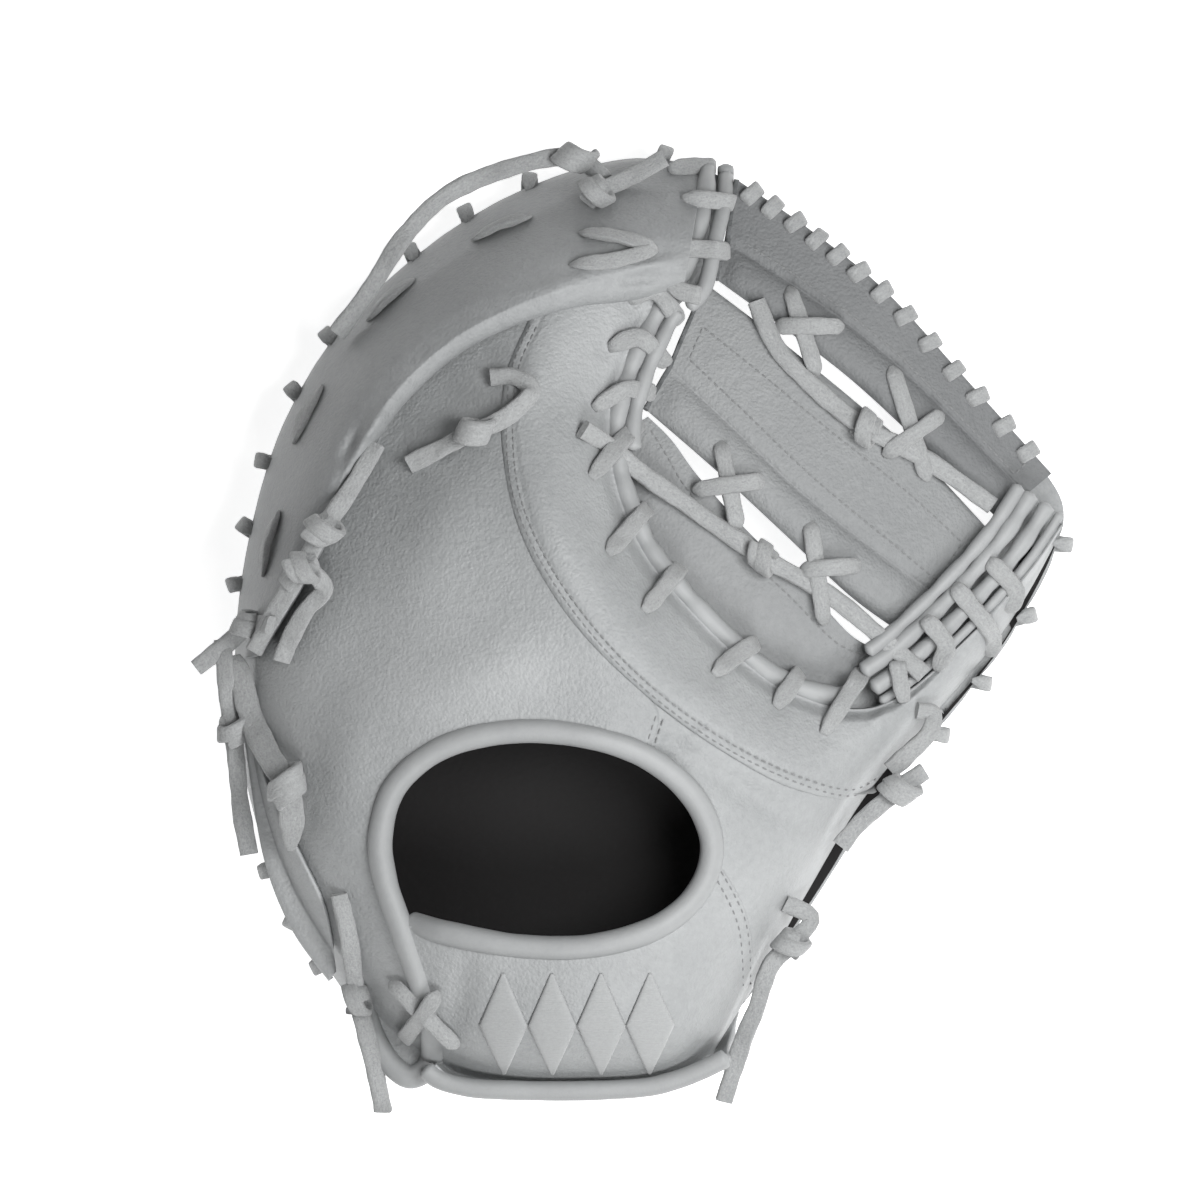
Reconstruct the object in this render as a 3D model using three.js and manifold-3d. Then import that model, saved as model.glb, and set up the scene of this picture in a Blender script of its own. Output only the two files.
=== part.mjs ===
// A first baseman's mitt for the left hand, lying palm down with the back of the hand up.
// Millimetres, +Z up, +Y from the wrist to the finger tips, +X from the little finger to the thumb.
import * as THREE from "three";
import { mergeVertices } from "three/addons/utils/BufferGeometryUtils.js";
import Module from "manifold-3d";

const wasm = await Module();
wasm.setup();

// Driving sizes.
const mitt_width = 272;
const mitt_length = 303;
const crown_height = 98;
const pocket_height = 50;
const palm_wall = 6;
const shell_wall = 3;
const lining_wall = 1.2;
const rim_pad = 18;
const seam_gap = 0.6;
const fit_gap = 0.35;
const lace_width = 5.8;
const lace_thickness = 2.7;
const strap_width = 8;
const roll_radius = 3.5;
const opening_roll_radius = 3.9;
const web_leather = 4.2;
const web_tube_height = 10;
const web_edge_lift = 19.6;
const web_edge_reach = 34;
const wrist_height = 58;

// The plan is drawn in shares of a square frame: the leather spans these shares of it.
const PLAN_SPAN_X = 0.85;
const PLAN_SPAN_Y = 0.947;
const PLAN_MIDDLE = { x: 0.65, y: 0.475 };
const HAND_CENTRE = { x: 0.59, y: 0.46 };
const unit_x = mitt_width / PLAN_SPAN_X;
const unit_y = mitt_length / PLAN_SPAN_Y;

// The edge where palm and back are laced together, once round from the web past the little finger,
// the heel and the thumb. x and y are plan shares. edge and crown are shares of crown_height: the seam's
// height, and the back's height further in. full is how far out the back stays high, pad a share of
// rim_pad, and flare how far the palm's edge stands past the back's.
const edge_rows = [
  { x: 0.735, y: 0.922, edge: 0.25, crown: 0.66, full: 3.0, pad: 0.85, flare: 1.0 },
  { x: 0.65, y: 0.948, edge: 0.19, crown: 0.7, full: 3.0, pad: 0.95, flare: 1.0 },
  { x: 0.56, y: 0.932, edge: 0.15, crown: 0.73, full: 3.0, pad: 1.0, flare: 1.0 },
  { x: 0.47, y: 0.89, edge: 0.14, crown: 0.75, full: 3.0, pad: 1.0, flare: 1.0 },
  { x: 0.39, y: 0.83, edge: 0.14, crown: 0.76, full: 3.0, pad: 1.0, flare: 1.0 },
  { x: 0.325, y: 0.76, edge: 0.15, crown: 0.78, full: 3.0, pad: 1.0, flare: 1.0 },
  { x: 0.277, y: 0.675, edge: 0.17, crown: 0.8, full: 3.2, pad: 0.9, flare: 1.0 },
  { x: 0.249, y: 0.585, edge: 0.2, crown: 0.82, full: 3.6, pad: 0.85, flare: 1.0 },
  { x: 0.233, y: 0.49, edge: 0.22, crown: 0.84, full: 4.2, pad: 0.85, flare: 1.0 },
  { x: 0.231, y: 0.395, edge: 0.22, crown: 0.85, full: 4.6, pad: 0.85, flare: 1.0 },
  { x: 0.245, y: 0.3, edge: 0.21, crown: 0.86, full: 5.0, pad: 0.9, flare: 1.0 },
  { x: 0.275, y: 0.21, edge: 0.19, crown: 0.87, full: 5.5, pad: 0.95, flare: 1.0 },
  { x: 0.325, y: 0.125, edge: 0.17, crown: 0.87, full: 6.0, pad: 1.0, flare: 1.0 },
  { x: 0.385, y: 0.05, edge: 0.15, crown: 0.87, full: 7.0, pad: 1.0, flare: 0.99 },
  { x: 0.47, y: 0.008, edge: 0.14, crown: 0.88, full: 9.0, pad: 1.0, flare: 0.97 },
  { x: 0.58, y: 0.002, edge: 0.14, crown: 0.9, full: 10.0, pad: 1.0, flare: 0.965 },
  { x: 0.685, y: 0.015, edge: 0.15, crown: 0.88, full: 9.0, pad: 1.0, flare: 0.975 },
  { x: 0.745, y: 0.09, edge: 0.18, crown: 0.86, full: 7.0, pad: 0.95, flare: 1.0 },
  { x: 0.805, y: 0.195, edge: 0.22, crown: 0.84, full: 6.0, pad: 0.85, flare: 1.03 },
  { x: 0.868, y: 0.3, edge: 0.24, crown: 0.82, full: 5.2, pad: 0.85, flare: 1.045 },
  { x: 0.94, y: 0.385, edge: 0.23, crown: 0.76, full: 4.6, pad: 0.85, flare: 1.04 },
  { x: 1.012, y: 0.472, edge: 0.2, crown: 0.66, full: 4.2, pad: 0.95, flare: 1.025 },
  { x: 1.07, y: 0.575, edge: 0.17, crown: 0.55, full: 4.2, pad: 1.16, flare: 1.0 },
  { x: 1.045, y: 0.638, edge: 0.19, crown: 0.52, full: 3.2, pad: 1.0, flare: 1.0 },
  { x: 0.955, y: 0.735, edge: 0.27, crown: 0.58, full: 2.5, pad: 0.6, flare: 1.0 },
  { x: 0.85, y: 0.84, edge: 0.29, crown: 0.64, full: 2.5, pad: 0.6, flare: 1.0 },
];

// The edge of the back leather along the web, from the finger tips round the crotch to the thumb tip.
const web_edge_rows = [
  { x: 0.717, y: 0.95 }, { x: 0.716, y: 0.91 }, { x: 0.706, y: 0.865 }, { x: 0.69, y: 0.822 },
  { x: 0.668, y: 0.803 }, { x: 0.65, y: 0.775 }, { x: 0.628, y: 0.725 }, { x: 0.616, y: 0.67 },
  { x: 0.624, y: 0.612 }, { x: 0.65, y: 0.55 }, { x: 0.69, y: 0.5 }, { x: 0.738, y: 0.452 },
  { x: 0.785, y: 0.418 }, { x: 0.842, y: 0.404 }, { x: 0.888, y: 0.426 }, { x: 0.932, y: 0.463 },
  { x: 0.978, y: 0.508 }, { x: 1.018, y: 0.554 }, { x: 1.05, y: 0.602 },
];

// The palm leather reaches a little further under the web than the back does.
const palm_edge_rows = [
  { x: 0.73, y: 0.95 }, { x: 0.729, y: 0.908 }, { x: 0.72, y: 0.865 }, { x: 0.703, y: 0.821 },
  { x: 0.68, y: 0.798 }, { x: 0.66, y: 0.77 }, { x: 0.638, y: 0.722 }, { x: 0.626, y: 0.67 },
  { x: 0.634, y: 0.622 }, { x: 0.657, y: 0.557 }, { x: 0.697, y: 0.506 }, { x: 0.744, y: 0.459 },
  { x: 0.788, y: 0.427 }, { x: 0.834, y: 0.417 }, { x: 0.87, y: 0.442 }, { x: 0.914, y: 0.479 },
  { x: 0.96, y: 0.524 }, { x: 1.0, y: 0.57 }, { x: 1.032, y: 0.618 },
];

// The finger band, row by row from the web to the little finger: its free lip over the hand's back, the
// rim behind that, and how far the lip stands up.
const band_rows = [
  { lip_x: 0.672, lip_y: 0.806, rim_x: 0.692, rim_y: 0.945, rise: 6 },
  { lip_x: 0.63, lip_y: 0.799, rim_x: 0.645, rim_y: 0.948, rise: 8 },
  { lip_x: 0.58, lip_y: 0.793, rim_x: 0.56, rim_y: 0.932, rise: 9 },
  { lip_x: 0.52, lip_y: 0.775, rim_x: 0.47, rim_y: 0.89, rise: 10 },
  { lip_x: 0.46, lip_y: 0.745, rim_x: 0.39, rim_y: 0.83, rise: 10 },
  { lip_x: 0.405, lip_y: 0.695, rim_x: 0.325, rim_y: 0.76, rise: 9.5 },
  { lip_x: 0.365, lip_y: 0.635, rim_x: 0.277, rim_y: 0.675, rise: 8.5 },
  { lip_x: 0.335, lip_y: 0.57, rim_x: 0.249, rim_y: 0.585, rise: 7 },
  { lip_x: 0.3, lip_y: 0.505, rim_x: 0.233, rim_y: 0.49, rise: 5 },
  { lip_x: 0.262, lip_y: 0.445, rim_x: 0.23, rim_y: 0.44, rise: 3.5 },
];

// The thumb panel, row by row from the crotch to the thumb tip: its outer seam or rim, the row of the
// web's edge that it reaches to, and how many roll radii it stops short of that for the binding.
const thumb_rows = [
  { out_x: 0.527, out_y: 0.776, web: 4.25, inset: 1.15 },
  { out_x: 0.505, out_y: 0.72, web: 5.8, inset: 1.15 },
  { out_x: 0.503, out_y: 0.65, web: 7.0, inset: 1.15 },
  { out_x: 0.522, out_y: 0.565, web: 8.3, inset: 1.15 },
  { out_x: 0.57, out_y: 0.482, web: 9.6, inset: 1.15 },
  { out_x: 0.64, out_y: 0.41, web: 10.8, inset: 1.15 },
  { out_x: 0.72, out_y: 0.351, web: 12.0, inset: 1.15 },
  { out_x: 0.8, out_y: 0.31, web: 13.0, inset: 1.6 },
  { out_x: 0.874, out_y: 0.308, web: 14.0, inset: 2.5 },
  { out_x: 0.945, out_y: 0.391, web: 15.2, inset: 2.5 },
  { out_x: 1.013, out_y: 0.474, web: 16.5, inset: 2.5 },
  { out_x: 1.062, out_y: 0.56, web: 17.7, inset: 2.5 },
];

// The narrow flap that the little finger's strap holds down, from its top to its point.
const flap_rows = [
  { left_x: 0.243, left_y: 0.362, right_x: 0.25, right_y: 0.364 },
  { left_x: 0.252, left_y: 0.3, right_x: 0.274, right_y: 0.3 },
  { left_x: 0.266, left_y: 0.23, right_x: 0.303, right_y: 0.24 },
  { left_x: 0.292, left_y: 0.168, right_x: 0.325, right_y: 0.19 },
  { left_x: 0.328, left_y: 0.118, right_x: 0.336, right_y: 0.128 },
];

// The rolled binding: round the flap at the heel, up the little-finger side of the opening, over it and
// down the thumb side.
const flap_roll_rows = [
  { x: 0.378, y: 0.062 }, { x: 0.39, y: 0.034 }, { x: 0.411, y: 0.022 }, { x: 0.431, y: 0.038 },
  { x: 0.431, y: 0.08 }, { x: 0.419, y: 0.125 }, { x: 0.402, y: 0.175 }, { x: 0.387, y: 0.22 },
  { x: 0.382, y: 0.265 }, { x: 0.397, y: 0.315 }, { x: 0.44, y: 0.352 }, { x: 0.5, y: 0.369 },
  { x: 0.57, y: 0.368 }, { x: 0.64, y: 0.348 }, { x: 0.69, y: 0.308 }, { x: 0.711, y: 0.258 },
];
const strap_roll_rows = [
  { x: 0.7105, y: 0.249 }, { x: 0.697, y: 0.21 }, { x: 0.655, y: 0.175 }, { x: 0.59, y: 0.157 },
  { x: 0.52, y: 0.157 }, { x: 0.455, y: 0.168 }, { x: 0.395, y: 0.182 },
];
const opening_rows = [...flap_roll_rows.slice(6), ...strap_roll_rows.slice(1, 6)];

// Where one back panel ends and the next begins, as [x, y], from the hand opening to past the edge.
const FLAP_SEAM = [
  [0.47, 0.2], [0.402, 0.175], [0.419, 0.125], [0.431, 0.08], [0.431, 0.038], [0.415, -0.05],
];
const SIDE_SEAM = [[0.668, 0.43], [0.66, 0.393], [0.654, 0.36], [0.646, 0.3]];
const STRAP_SEAM = [[0.64, 0.26], [0.711, 0.247], [0.742, 0.2], [0.753, 0.14], [0.748, 0.09], [0.742, -0.05]];

// The web's straps, from the finger end to the thumb end: outer edge, fold and inner edge of each.
const outer_strap_rows = [
  { top_x: 0.744, top_y: 0.92, fold_x: 0.74, fold_y: 0.854, low_x: 0.727, low_y: 0.82 },
  { top_x: 0.812, top_y: 0.873, fold_x: 0.81, fold_y: 0.8, low_x: 0.782, low_y: 0.772 },
  { top_x: 0.887, top_y: 0.812, fold_x: 0.884, fold_y: 0.742, low_x: 0.85, low_y: 0.712 },
  { top_x: 0.97, top_y: 0.722, fold_x: 0.955, fold_y: 0.674, low_x: 0.918, low_y: 0.647 },
  { top_x: 1.049, top_y: 0.636, fold_x: 1.023, fold_y: 0.607, low_x: 0.99, low_y: 0.583 },
];
const middle_strap_rows = [
  { top_x: 0.71, top_y: 0.816, fold_x: 0.672, fold_y: 0.733, low_x: 0.647, low_y: 0.692 },
  { top_x: 0.776, top_y: 0.76, fold_x: 0.738, fold_y: 0.67, low_x: 0.716, low_y: 0.63 },
  { top_x: 0.856, top_y: 0.708, fold_x: 0.804, fold_y: 0.608, low_x: 0.785, low_y: 0.568 },
  { top_x: 0.922, top_y: 0.625, fold_x: 0.87, fold_y: 0.549, low_x: 0.85, low_y: 0.506 },
  { top_x: 0.976, top_y: 0.556, fold_x: 0.931, fold_y: 0.5, low_x: 0.9, low_y: 0.47 },
];
const inner_panel_rows = [
  { top_x: 0.648, top_y: 0.684, low_x: 0.634, low_y: 0.675 },
  { top_x: 0.672, top_y: 0.66, low_x: 0.634, low_y: 0.625 },
  { top_x: 0.7, top_y: 0.622, low_x: 0.65, low_y: 0.565 },
  { top_x: 0.752, top_y: 0.565, low_x: 0.69, low_y: 0.512 },
  { top_x: 0.805, top_y: 0.515, low_x: 0.74, low_y: 0.463 },
  { top_x: 0.852, top_y: 0.465, low_x: 0.79, low_y: 0.43 },
  { top_x: 0.862, top_y: 0.443, low_x: 0.835, low_y: 0.421 },
];

// A value between the rows of a table at row number t, on a smooth curve through the rows.
function between(rows, name, t, closed = false) {
  const n = rows.length;
  const i = closed ? Math.floor(t) : Math.min(Math.max(Math.floor(t), 0), n - 2);
  const f = t - i;
  const row = (k) => (closed ? (((i + k) % n) + n) % n : Math.min(Math.max(i + k, 0), n - 1));
  const [a, b, c, d] = [-1, 0, 1, 2].map((k) => rows[row(k)][name]);
  return b + 0.5 * f * (c - a + f * (2 * a - 5 * b + 4 * c - d + f * (3 * (b - c) + d - a)));
}

const edgeRow = (name, t) => between(edge_rows, name, t, true);
const place = (x, y, z = 0) =>
  new THREE.Vector3((x - PLAN_MIDDLE.x) * unit_x, (y - PLAN_MIDDLE.y) * unit_y, z);
const centre = place(HAND_CENTRE.x, HAND_CENTRE.y);
const along = (rows, t) => place(between(rows, "x", t), between(rows, "y", t));
const clamp = THREE.MathUtils.clamp;
const smooth = (a, b, x) => THREE.MathUtils.smoothstep(x, a, b);
const spread = (n) => Array.from({ length: n + 1 }, (_, i) => i / n);

// The plan point at row t of the edge and share r of the way out from the hand's centre.
function outward(t, r) {
  return place(edgeRow("x", t), edgeRow("y", t)).sub(centre).multiplyScalar(r).add(centre);
}

// The edge as angles round the hand's centre, to look up which row faces a plan point.
const LOOK_UP_STEPS = 520;
const look_up = Array.from({ length: LOOK_UP_STEPS }, (_, i) => {
  const t = (i / LOOK_UP_STEPS) * edge_rows.length;
  const p = outward(t, 1).sub(centre);
  return { t, angle: Math.atan2(p.y, p.x), radius: Math.hypot(p.x, p.y) };
});

function locate(point) {
  const dx = point.x - centre.x;
  const dy = point.y - centre.y;
  const angle = Math.atan2(dy, dx);
  const turn = (a) => ((((a - angle) % (2 * Math.PI)) + 3 * Math.PI) % (2 * Math.PI)) - Math.PI;
  for (let i = 0; i < LOOK_UP_STEPS; i++) {
    const a = look_up[i];
    const b = look_up[(i + 1) % LOOK_UP_STEPS];
    const [da, db] = [turn(a.angle), turn(b.angle)];
    if (da <= 0 && db > 0 && db - da < 1) {
      const f = -da / (db - da);
      const step = edge_rows.length / LOOK_UP_STEPS;
      return { t: a.t + f * step, r: Math.hypot(dx, dy) / (a.radius + f * (b.radius - a.radius)) };
    }
  }
  return { t: 0, r: 0 };
}

// The bowl: the palm leather's height without its padded rim. It is deepest under the hand's centre.
function bowlAt(t, r) {
  const edge = edgeRow("edge", t) * crown_height;
  return edge + (pocket_height - edge) * Math.max(0, 1 - r * r) ** 1.2;
}

// The dome: the back leather's height before it closes down to the web. It meets the seam upright.
function domeAt(t, r) {
  const edge = edgeRow("edge", t) * crown_height;
  const top = THREE.MathUtils.lerp(crown_height, edgeRow("crown", t) * crown_height, smooth(0, 1, r));
  return edge + (top - edge) * Math.sqrt(Math.max(0, 1 - Math.min(r, 1) ** edgeRow("full", t)));
}

const web_edge_line = spread(90).map((s) => along(web_edge_rows, s * (web_edge_rows.length - 1)));

const webLine = (u) => along(web_edge_rows, u);

function distanceToWeb(point) {
  return Math.min(...web_edge_line.map((p) => Math.hypot(p.x - point.x, p.y - point.y)));
}

function bowlHeight(p) {
  const { t, r } = locate(p);
  return bowlAt(t, Math.min(r, 1));
}

// The plan point beside a line at parameter k, this many mm to its left.
const leftOf = (ahead) => new THREE.Vector3(-ahead.y, ahead.x, 0).normalize();
const beside = (line, k, mm) => line(k).addScaledVector(leftOf(line(k + 0.05).sub(line(k - 0.05))), mm);

// How far the palm's edge stands past the back's, and the palm's upper height.
const flareAt = (t, r) => THREE.MathUtils.lerp(1, edgeRow("flare", t), smooth(0.6, 1, r));
const seamAt = (t) => edgeRow("edge", t) * crown_height - seam_gap / 2;
const palmTop = (t, r) =>
  THREE.MathUtils.lerp(seamAt(t), bowlAt(t, Math.min(r, 1)) + palm_wall, clamp((0.92 - r) / 0.07, 0, 1));

function palmTopHeight(p) {
  const { t, r } = locate(p);
  return palmTop(t, r / flareAt(t, r));
}

// The back leather's height over a plan point: the dome, closing down to the palm's edge along the web.
function backHeight(p) {
  const { t, r } = locate(p);
  const dome = domeAt(t, r);
  const low = Math.min(dome, bowlAt(t, Math.min(r, 1)) + web_edge_lift);
  const reach = Math.min(distanceToWeb(p) / web_edge_reach, 1);
  return low + (dome - low) * Math.sin((reach * Math.PI) / 2);
}

const abovePalm = (p) => p.setZ(Math.max(p.z, palmTopHeight(p) + seam_gap + fit_gap));
const onBack = (p, lift = 0) => new THREE.Vector3(p.x, p.y, backHeight(p) + lift);

// Closed geometry from points and faces, turned so that its faces point outwards, as a solid.
function solidFrom(points, faces) {
  let volume = 0;
  for (const [a, b, c] of faces) {
    volume += points[a].dot(new THREE.Vector3().crossVectors(points[b], points[c]));
  }
  const geometry = new THREE.BufferGeometry().setFromPoints(points);
  geometry.setIndex(faces.flatMap(([a, b, c]) => (volume < 0 ? [a, c, b] : [a, b, c])));
  return solidOf(geometry);
}

function solidOf(geometry) {
  const bare = geometry.clone();
  bare.deleteAttribute("normal");
  bare.deleteAttribute("uv");
  const merged = mergeVertices(bare, 1e-4);
  return new wasm.Manifold(
    new wasm.Mesh({
      numProp: 3,
      vertProperties: new Float32Array(merged.attributes.position.array),
      triVerts: new Uint32Array(merged.index.array),
    }),
  );
}

const quad = (a, b, c, d) => [[a, b, c], [a, c, d]];

// A wall between two grids of points, one face each, joined along their four sides.
function wallBetween(outer, inner) {
  const rows = outer.length;
  const cols = outer[0].length;
  const points = [...outer.flat(), ...inner.flat()];
  const o = (i, j) => i * cols + j;
  const n = (i, j) => rows * cols + i * cols + j;
  const faces = [];
  for (let i = 0; i < rows - 1; i++) {
    for (let j = 0; j < cols - 1; j++) {
      faces.push(...quad(o(i, j), o(i + 1, j), o(i + 1, j + 1), o(i, j + 1)));
      faces.push(...quad(n(i, j), n(i, j + 1), n(i + 1, j + 1), n(i + 1, j)));
    }
    faces.push(...quad(o(i, 0), n(i, 0), n(i + 1, 0), o(i + 1, 0)));
    faces.push(...quad(o(i + 1, cols - 1), n(i + 1, cols - 1), n(i, cols - 1), o(i, cols - 1)));
  }
  for (let j = 0; j < cols - 1; j++) {
    faces.push(...quad(o(0, j + 1), n(0, j + 1), n(0, j), o(0, j)));
    faces.push(...quad(o(rows - 1, j), n(rows - 1, j), n(rows - 1, j + 1), o(rows - 1, j + 1)));
  }
  return solidFrom(points, faces);
}

// A wall of leather whose outer face is surface(u, v), with u and v from 0 to 1.
function leather(surface, us, vs, wall) {
  const step = 2e-3;
  const normal = (u, v) => {
    const [u0, u1] = [Math.max(u - step, 0), Math.min(u + step, 1)];
    const [v0, v1] = [Math.max(v - step, 0), Math.min(v + step, 1)];
    const du = surface(u1, v).sub(surface(u0, v));
    const dv = surface(u, v1).sub(surface(u, v0));
    const n = du.cross(dv).normalize();
    return n.z < -0.05 ? n.negate() : n;
  };
  const grid = (depth) =>
    us.map((u) => vs.map((v) => abovePalm(surface(u, v).addScaledVector(normal(u, v), -depth))));
  return wallBetween(grid(0), grid(wall));
}

// A round sheet between two heights: upper and lower give a point at row t and share r.
function disc(upper, lower, steps, shares) {
  const rings = (face) =>
    shares.map((r) => spread(steps - 1).map((_, i) => face((i / steps) * edge_rows.length, r)));
  const points = [upper(0, 0), lower(0, 0), ...rings(upper).flat(), ...rings(lower).flat()];
  const top = (k, i) => 2 + k * steps + (i % steps);
  const low = (k, i) => top(k, i) + shares.length * steps;
  const last = shares.length - 1;
  const faces = [];
  for (let i = 0; i < steps; i++) {
    faces.push([0, top(0, i), top(0, i + 1)], [1, low(0, i + 1), low(0, i)]);
    for (let k = 0; k < last; k++) {
      faces.push(...quad(top(k, i), top(k + 1, i), top(k + 1, i + 1), top(k, i + 1)));
      faces.push(...quad(low(k, i), low(k, i + 1), low(k + 1, i + 1), low(k + 1, i)));
    }
    faces.push(...quad(top(last, i), low(last, i), low(last, i + 1), top(last, i + 1)));
  }
  return solidFrom(points, faces);
}

// An upright block over a plan outline, taller than the mitt.
function upright(outline, bottom = -20, top = 2 * crown_height) {
  const shape = new THREE.Shape(outline.map((p) => new THREE.Vector2(p.x, p.y)));
  const block = new THREE.ExtrudeGeometry(shape, { depth: top - bottom, bevelEnabled: false });
  return solidOf(block.translate(0, 0, bottom));
}

// A thin upright wall along a plan line, which leaves a seam when it is cut away.
function seamWall(line, width = seam_gap) {
  const sides = [1, -1].map((side) =>
    line.map((p, i) => {
      const way = line[Math.min(i + 1, line.length - 1)].clone().sub(line[Math.max(i - 1, 0)]);
      return p.clone().addScaledVector(leftOf(way), (side * width) / 2);
    }),
  );
  return upright([...sides[0], ...sides[1].reverse()]);
}

const curveThrough = (points, closed = false) =>
  new THREE.CatmullRomCurve3(points, closed, "centripetal");
const planLine = (pairs, n) =>
  curveThrough(pairs.map(([x, y]) => place(x, y))).getPoints(n);

// A round roll of leather along a curve.
function roll(points, radius, steps, sides = 8) {
  const ring = new THREE.Shape(
    spread(sides - 1).map((_, i) => {
      const a = ((i + 0.5) / sides) * 2 * Math.PI;
      return new THREE.Vector2(radius * Math.cos(a), radius * Math.sin(a));
    }),
  );
  return solidOf(
    new THREE.ExtrudeGeometry(ring, { steps, extrudePath: curveThrough(points), bevelEnabled: false }),
  );
}

// A flat lace along points, lying across the direction up at each.
function lace(points, ups, width, thickness, grow = 0) {
  const n = points.length;
  const [half_w, half_t] = [width / 2 + grow, thickness / 2 + grow];
  const corners = points.flatMap((p, i) => {
    const tangent = points[Math.min(i + 1, n - 1)].clone().sub(points[Math.max(i - 1, 0)]).normalize();
    const side = tangent.clone().cross(ups[i]).normalize();
    const up = side.clone().cross(tangent);
    const q = p.clone().addScaledVector(tangent, i === 0 ? -grow : i === n - 1 ? grow : 0);
    return [[1, 1], [-1, 1], [-1, -1], [1, -1]].map(([s, u]) =>
      q.clone().addScaledVector(side, s * half_w).addScaledVector(up, u * half_t),
    );
  });
  const faces = [...quad(0, 1, 2, 3), ...quad(4 * n - 1, 4 * n - 2, 4 * n - 3, 4 * n - 4)];
  for (let i = 0; i < n - 1; i++) {
    for (let k = 0; k < 4; k++) {
      const [a, b] = [4 * i + k, 4 * i + ((k + 1) % 4)];
      faces.push(...quad(a, a + 4, b + 4, b));
    }
  }
  return solidFrom(corners, faces);
}

// Leather with the holes for its laces.
function pierced(solid) {
  const cuts = lace_holes.filter((hole) => hole.intersect(solid).volume() > 0.001);
  return cuts.reduce((rest, hole) => rest.subtract(hole), solid);
}

function largest(solid) {
  return solid.decompose().sort((a, b) => b.volume() - a.volume())[0];
}

const cleaned = (solid, tolerance) => largest(largest(solid).simplify(tolerance));

const leather_grey = new THREE.MeshStandardMaterial({ color: 0x8f9293, roughness: 0.62, metalness: 0 });
const lace_grey = new THREE.MeshStandardMaterial({ color: 0x9a9c9c, roughness: 0.8, metalness: 0 });
const lining_black = new THREE.MeshStandardMaterial({ color: 0x0d0c0d, roughness: 0.6, metalness: 0 });

const COLUMNS = 35;
const PALM_SHARES = [0.34, 0.6, 0.76, 0.85, 0.92, 0.97];
const BACK_SHARES = [0.32, 0.54, 0.7, 0.82, 0.9, 0.955, 0.988];

// The palm: a deep bowl with a thick padded rim under it, pressed flat where it rests.
function palmBody() {
  const palmEdge = (t, r) => outward(t, r * flareAt(t, r));
  const upper = (t, r) => palmEdge(t, r).setZ(palmTop(t, r));
  const lower = (t, r) => {
    const q = clamp((1 - r) / 0.22, 0, 1);
    const bulge = 2.6 * Math.sqrt(q) * (1 - q);
    const rim = r === 1 ? 0.8 : 0;
    const pad = rim_pad * edgeRow("pad", t) * bulge;
    return palmEdge(t, r).setZ(bowlAt(t, r) - seam_gap / 2 - rim - pad);
  };
  const floor = upright([place(0, -0.2), place(1.3, -0.2), place(1.3, 1.2), place(0, 1.2)], -20, 0);
  return disc(upper, lower, COLUMNS, [...PALM_SHARES, 1]).subtract(floor);
}

// The back as one dome of leather, before it is cut into panels.
function backBody() {
  const surface = (t, r) => outward(t, r).setZ(domeAt(t, r));
  const step = 1e-3;
  const inner = (t, r) => {
    if (r === 0) return centre.clone().setZ(crown_height - shell_wall);
    const dt = surface(t + step, r).sub(surface(t - step, r));
    const dr = surface(t, Math.min(r + step, 1)).sub(surface(t, r - step));
    return abovePalm(surface(t, r).addScaledVector(dr.cross(dt).normalize(), -shell_wall));
  };
  return disc((t, r) => abovePalm(surface(t, r)), inner, COLUMNS, [...BACK_SHARES, 1]);
}

// The finger band lies over the hand's back, puffed up behind its free lip.
function bandSurface(u, v) {
  const t = u * (band_rows.length - 1);
  const at = (name) => between(band_rows, name, t);
  const reach = 0.5 - 0.5 * Math.cos(Math.PI * v);
  const p = place(at("lip_x"), at("lip_y")).lerp(place(at("rim_x"), at("rim_y")), reach);
  return onBack(p, bandLift(at("rise"), reach));
}

// How high the finger band stands over the back at a plan point, or 0 beside it.
const band_segments = spread(60).map((s) => {
  const t = s * (band_rows.length - 1);
  const at = (name) => between(band_rows, name, t);
  return { lip: place(at("lip_x"), at("lip_y")), rim: place(at("rim_x"), at("rim_y")), rise: at("rise") };
});

function bandLift(rise, reach) {
  const puff = rise * Math.sqrt(Math.min(reach / 0.14, 1));
  return (shell_wall + fit_gap + 0.4 + puff) * (1 - smooth(0.3, 0.95, reach));
}

function coverLift(p) {
  let [best, lift] = [3, 0];
  for (const { lip, rim, rise } of band_segments) {
    const way = rim.clone().sub(lip);
    const reach = (p.x - lip.x) * way.x + (p.y - lip.y) * way.y;
    const share = clamp(reach / way.lengthSq(), 0, 1);
    const miss = Math.hypot(lip.x + way.x * share - p.x, lip.y + way.y * share - p.y);
    if (miss < best) [best, lift] = [miss, bandLift(rise, share)];
  }
  return lift;
}

function thumbSurface(u, v) {
  const t = u * (thumb_rows.length - 1);
  const reach = 0.5 - 0.5 * Math.cos(Math.PI * v);
  const out = place(between(thumb_rows, "out_x", t), between(thumb_rows, "out_y", t));
  const stop = between(thumb_rows, "inset", t) * roll_radius;
  return onBack(out.lerp(beside(webLine, between(thumb_rows, "web", t), -stop), reach));
}

// The web lies just over the palm's leather, and carries on across the gap between fingers and thumb.
const webBase = (p) => bowlHeight(p) + palm_wall + fit_gap;

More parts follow.
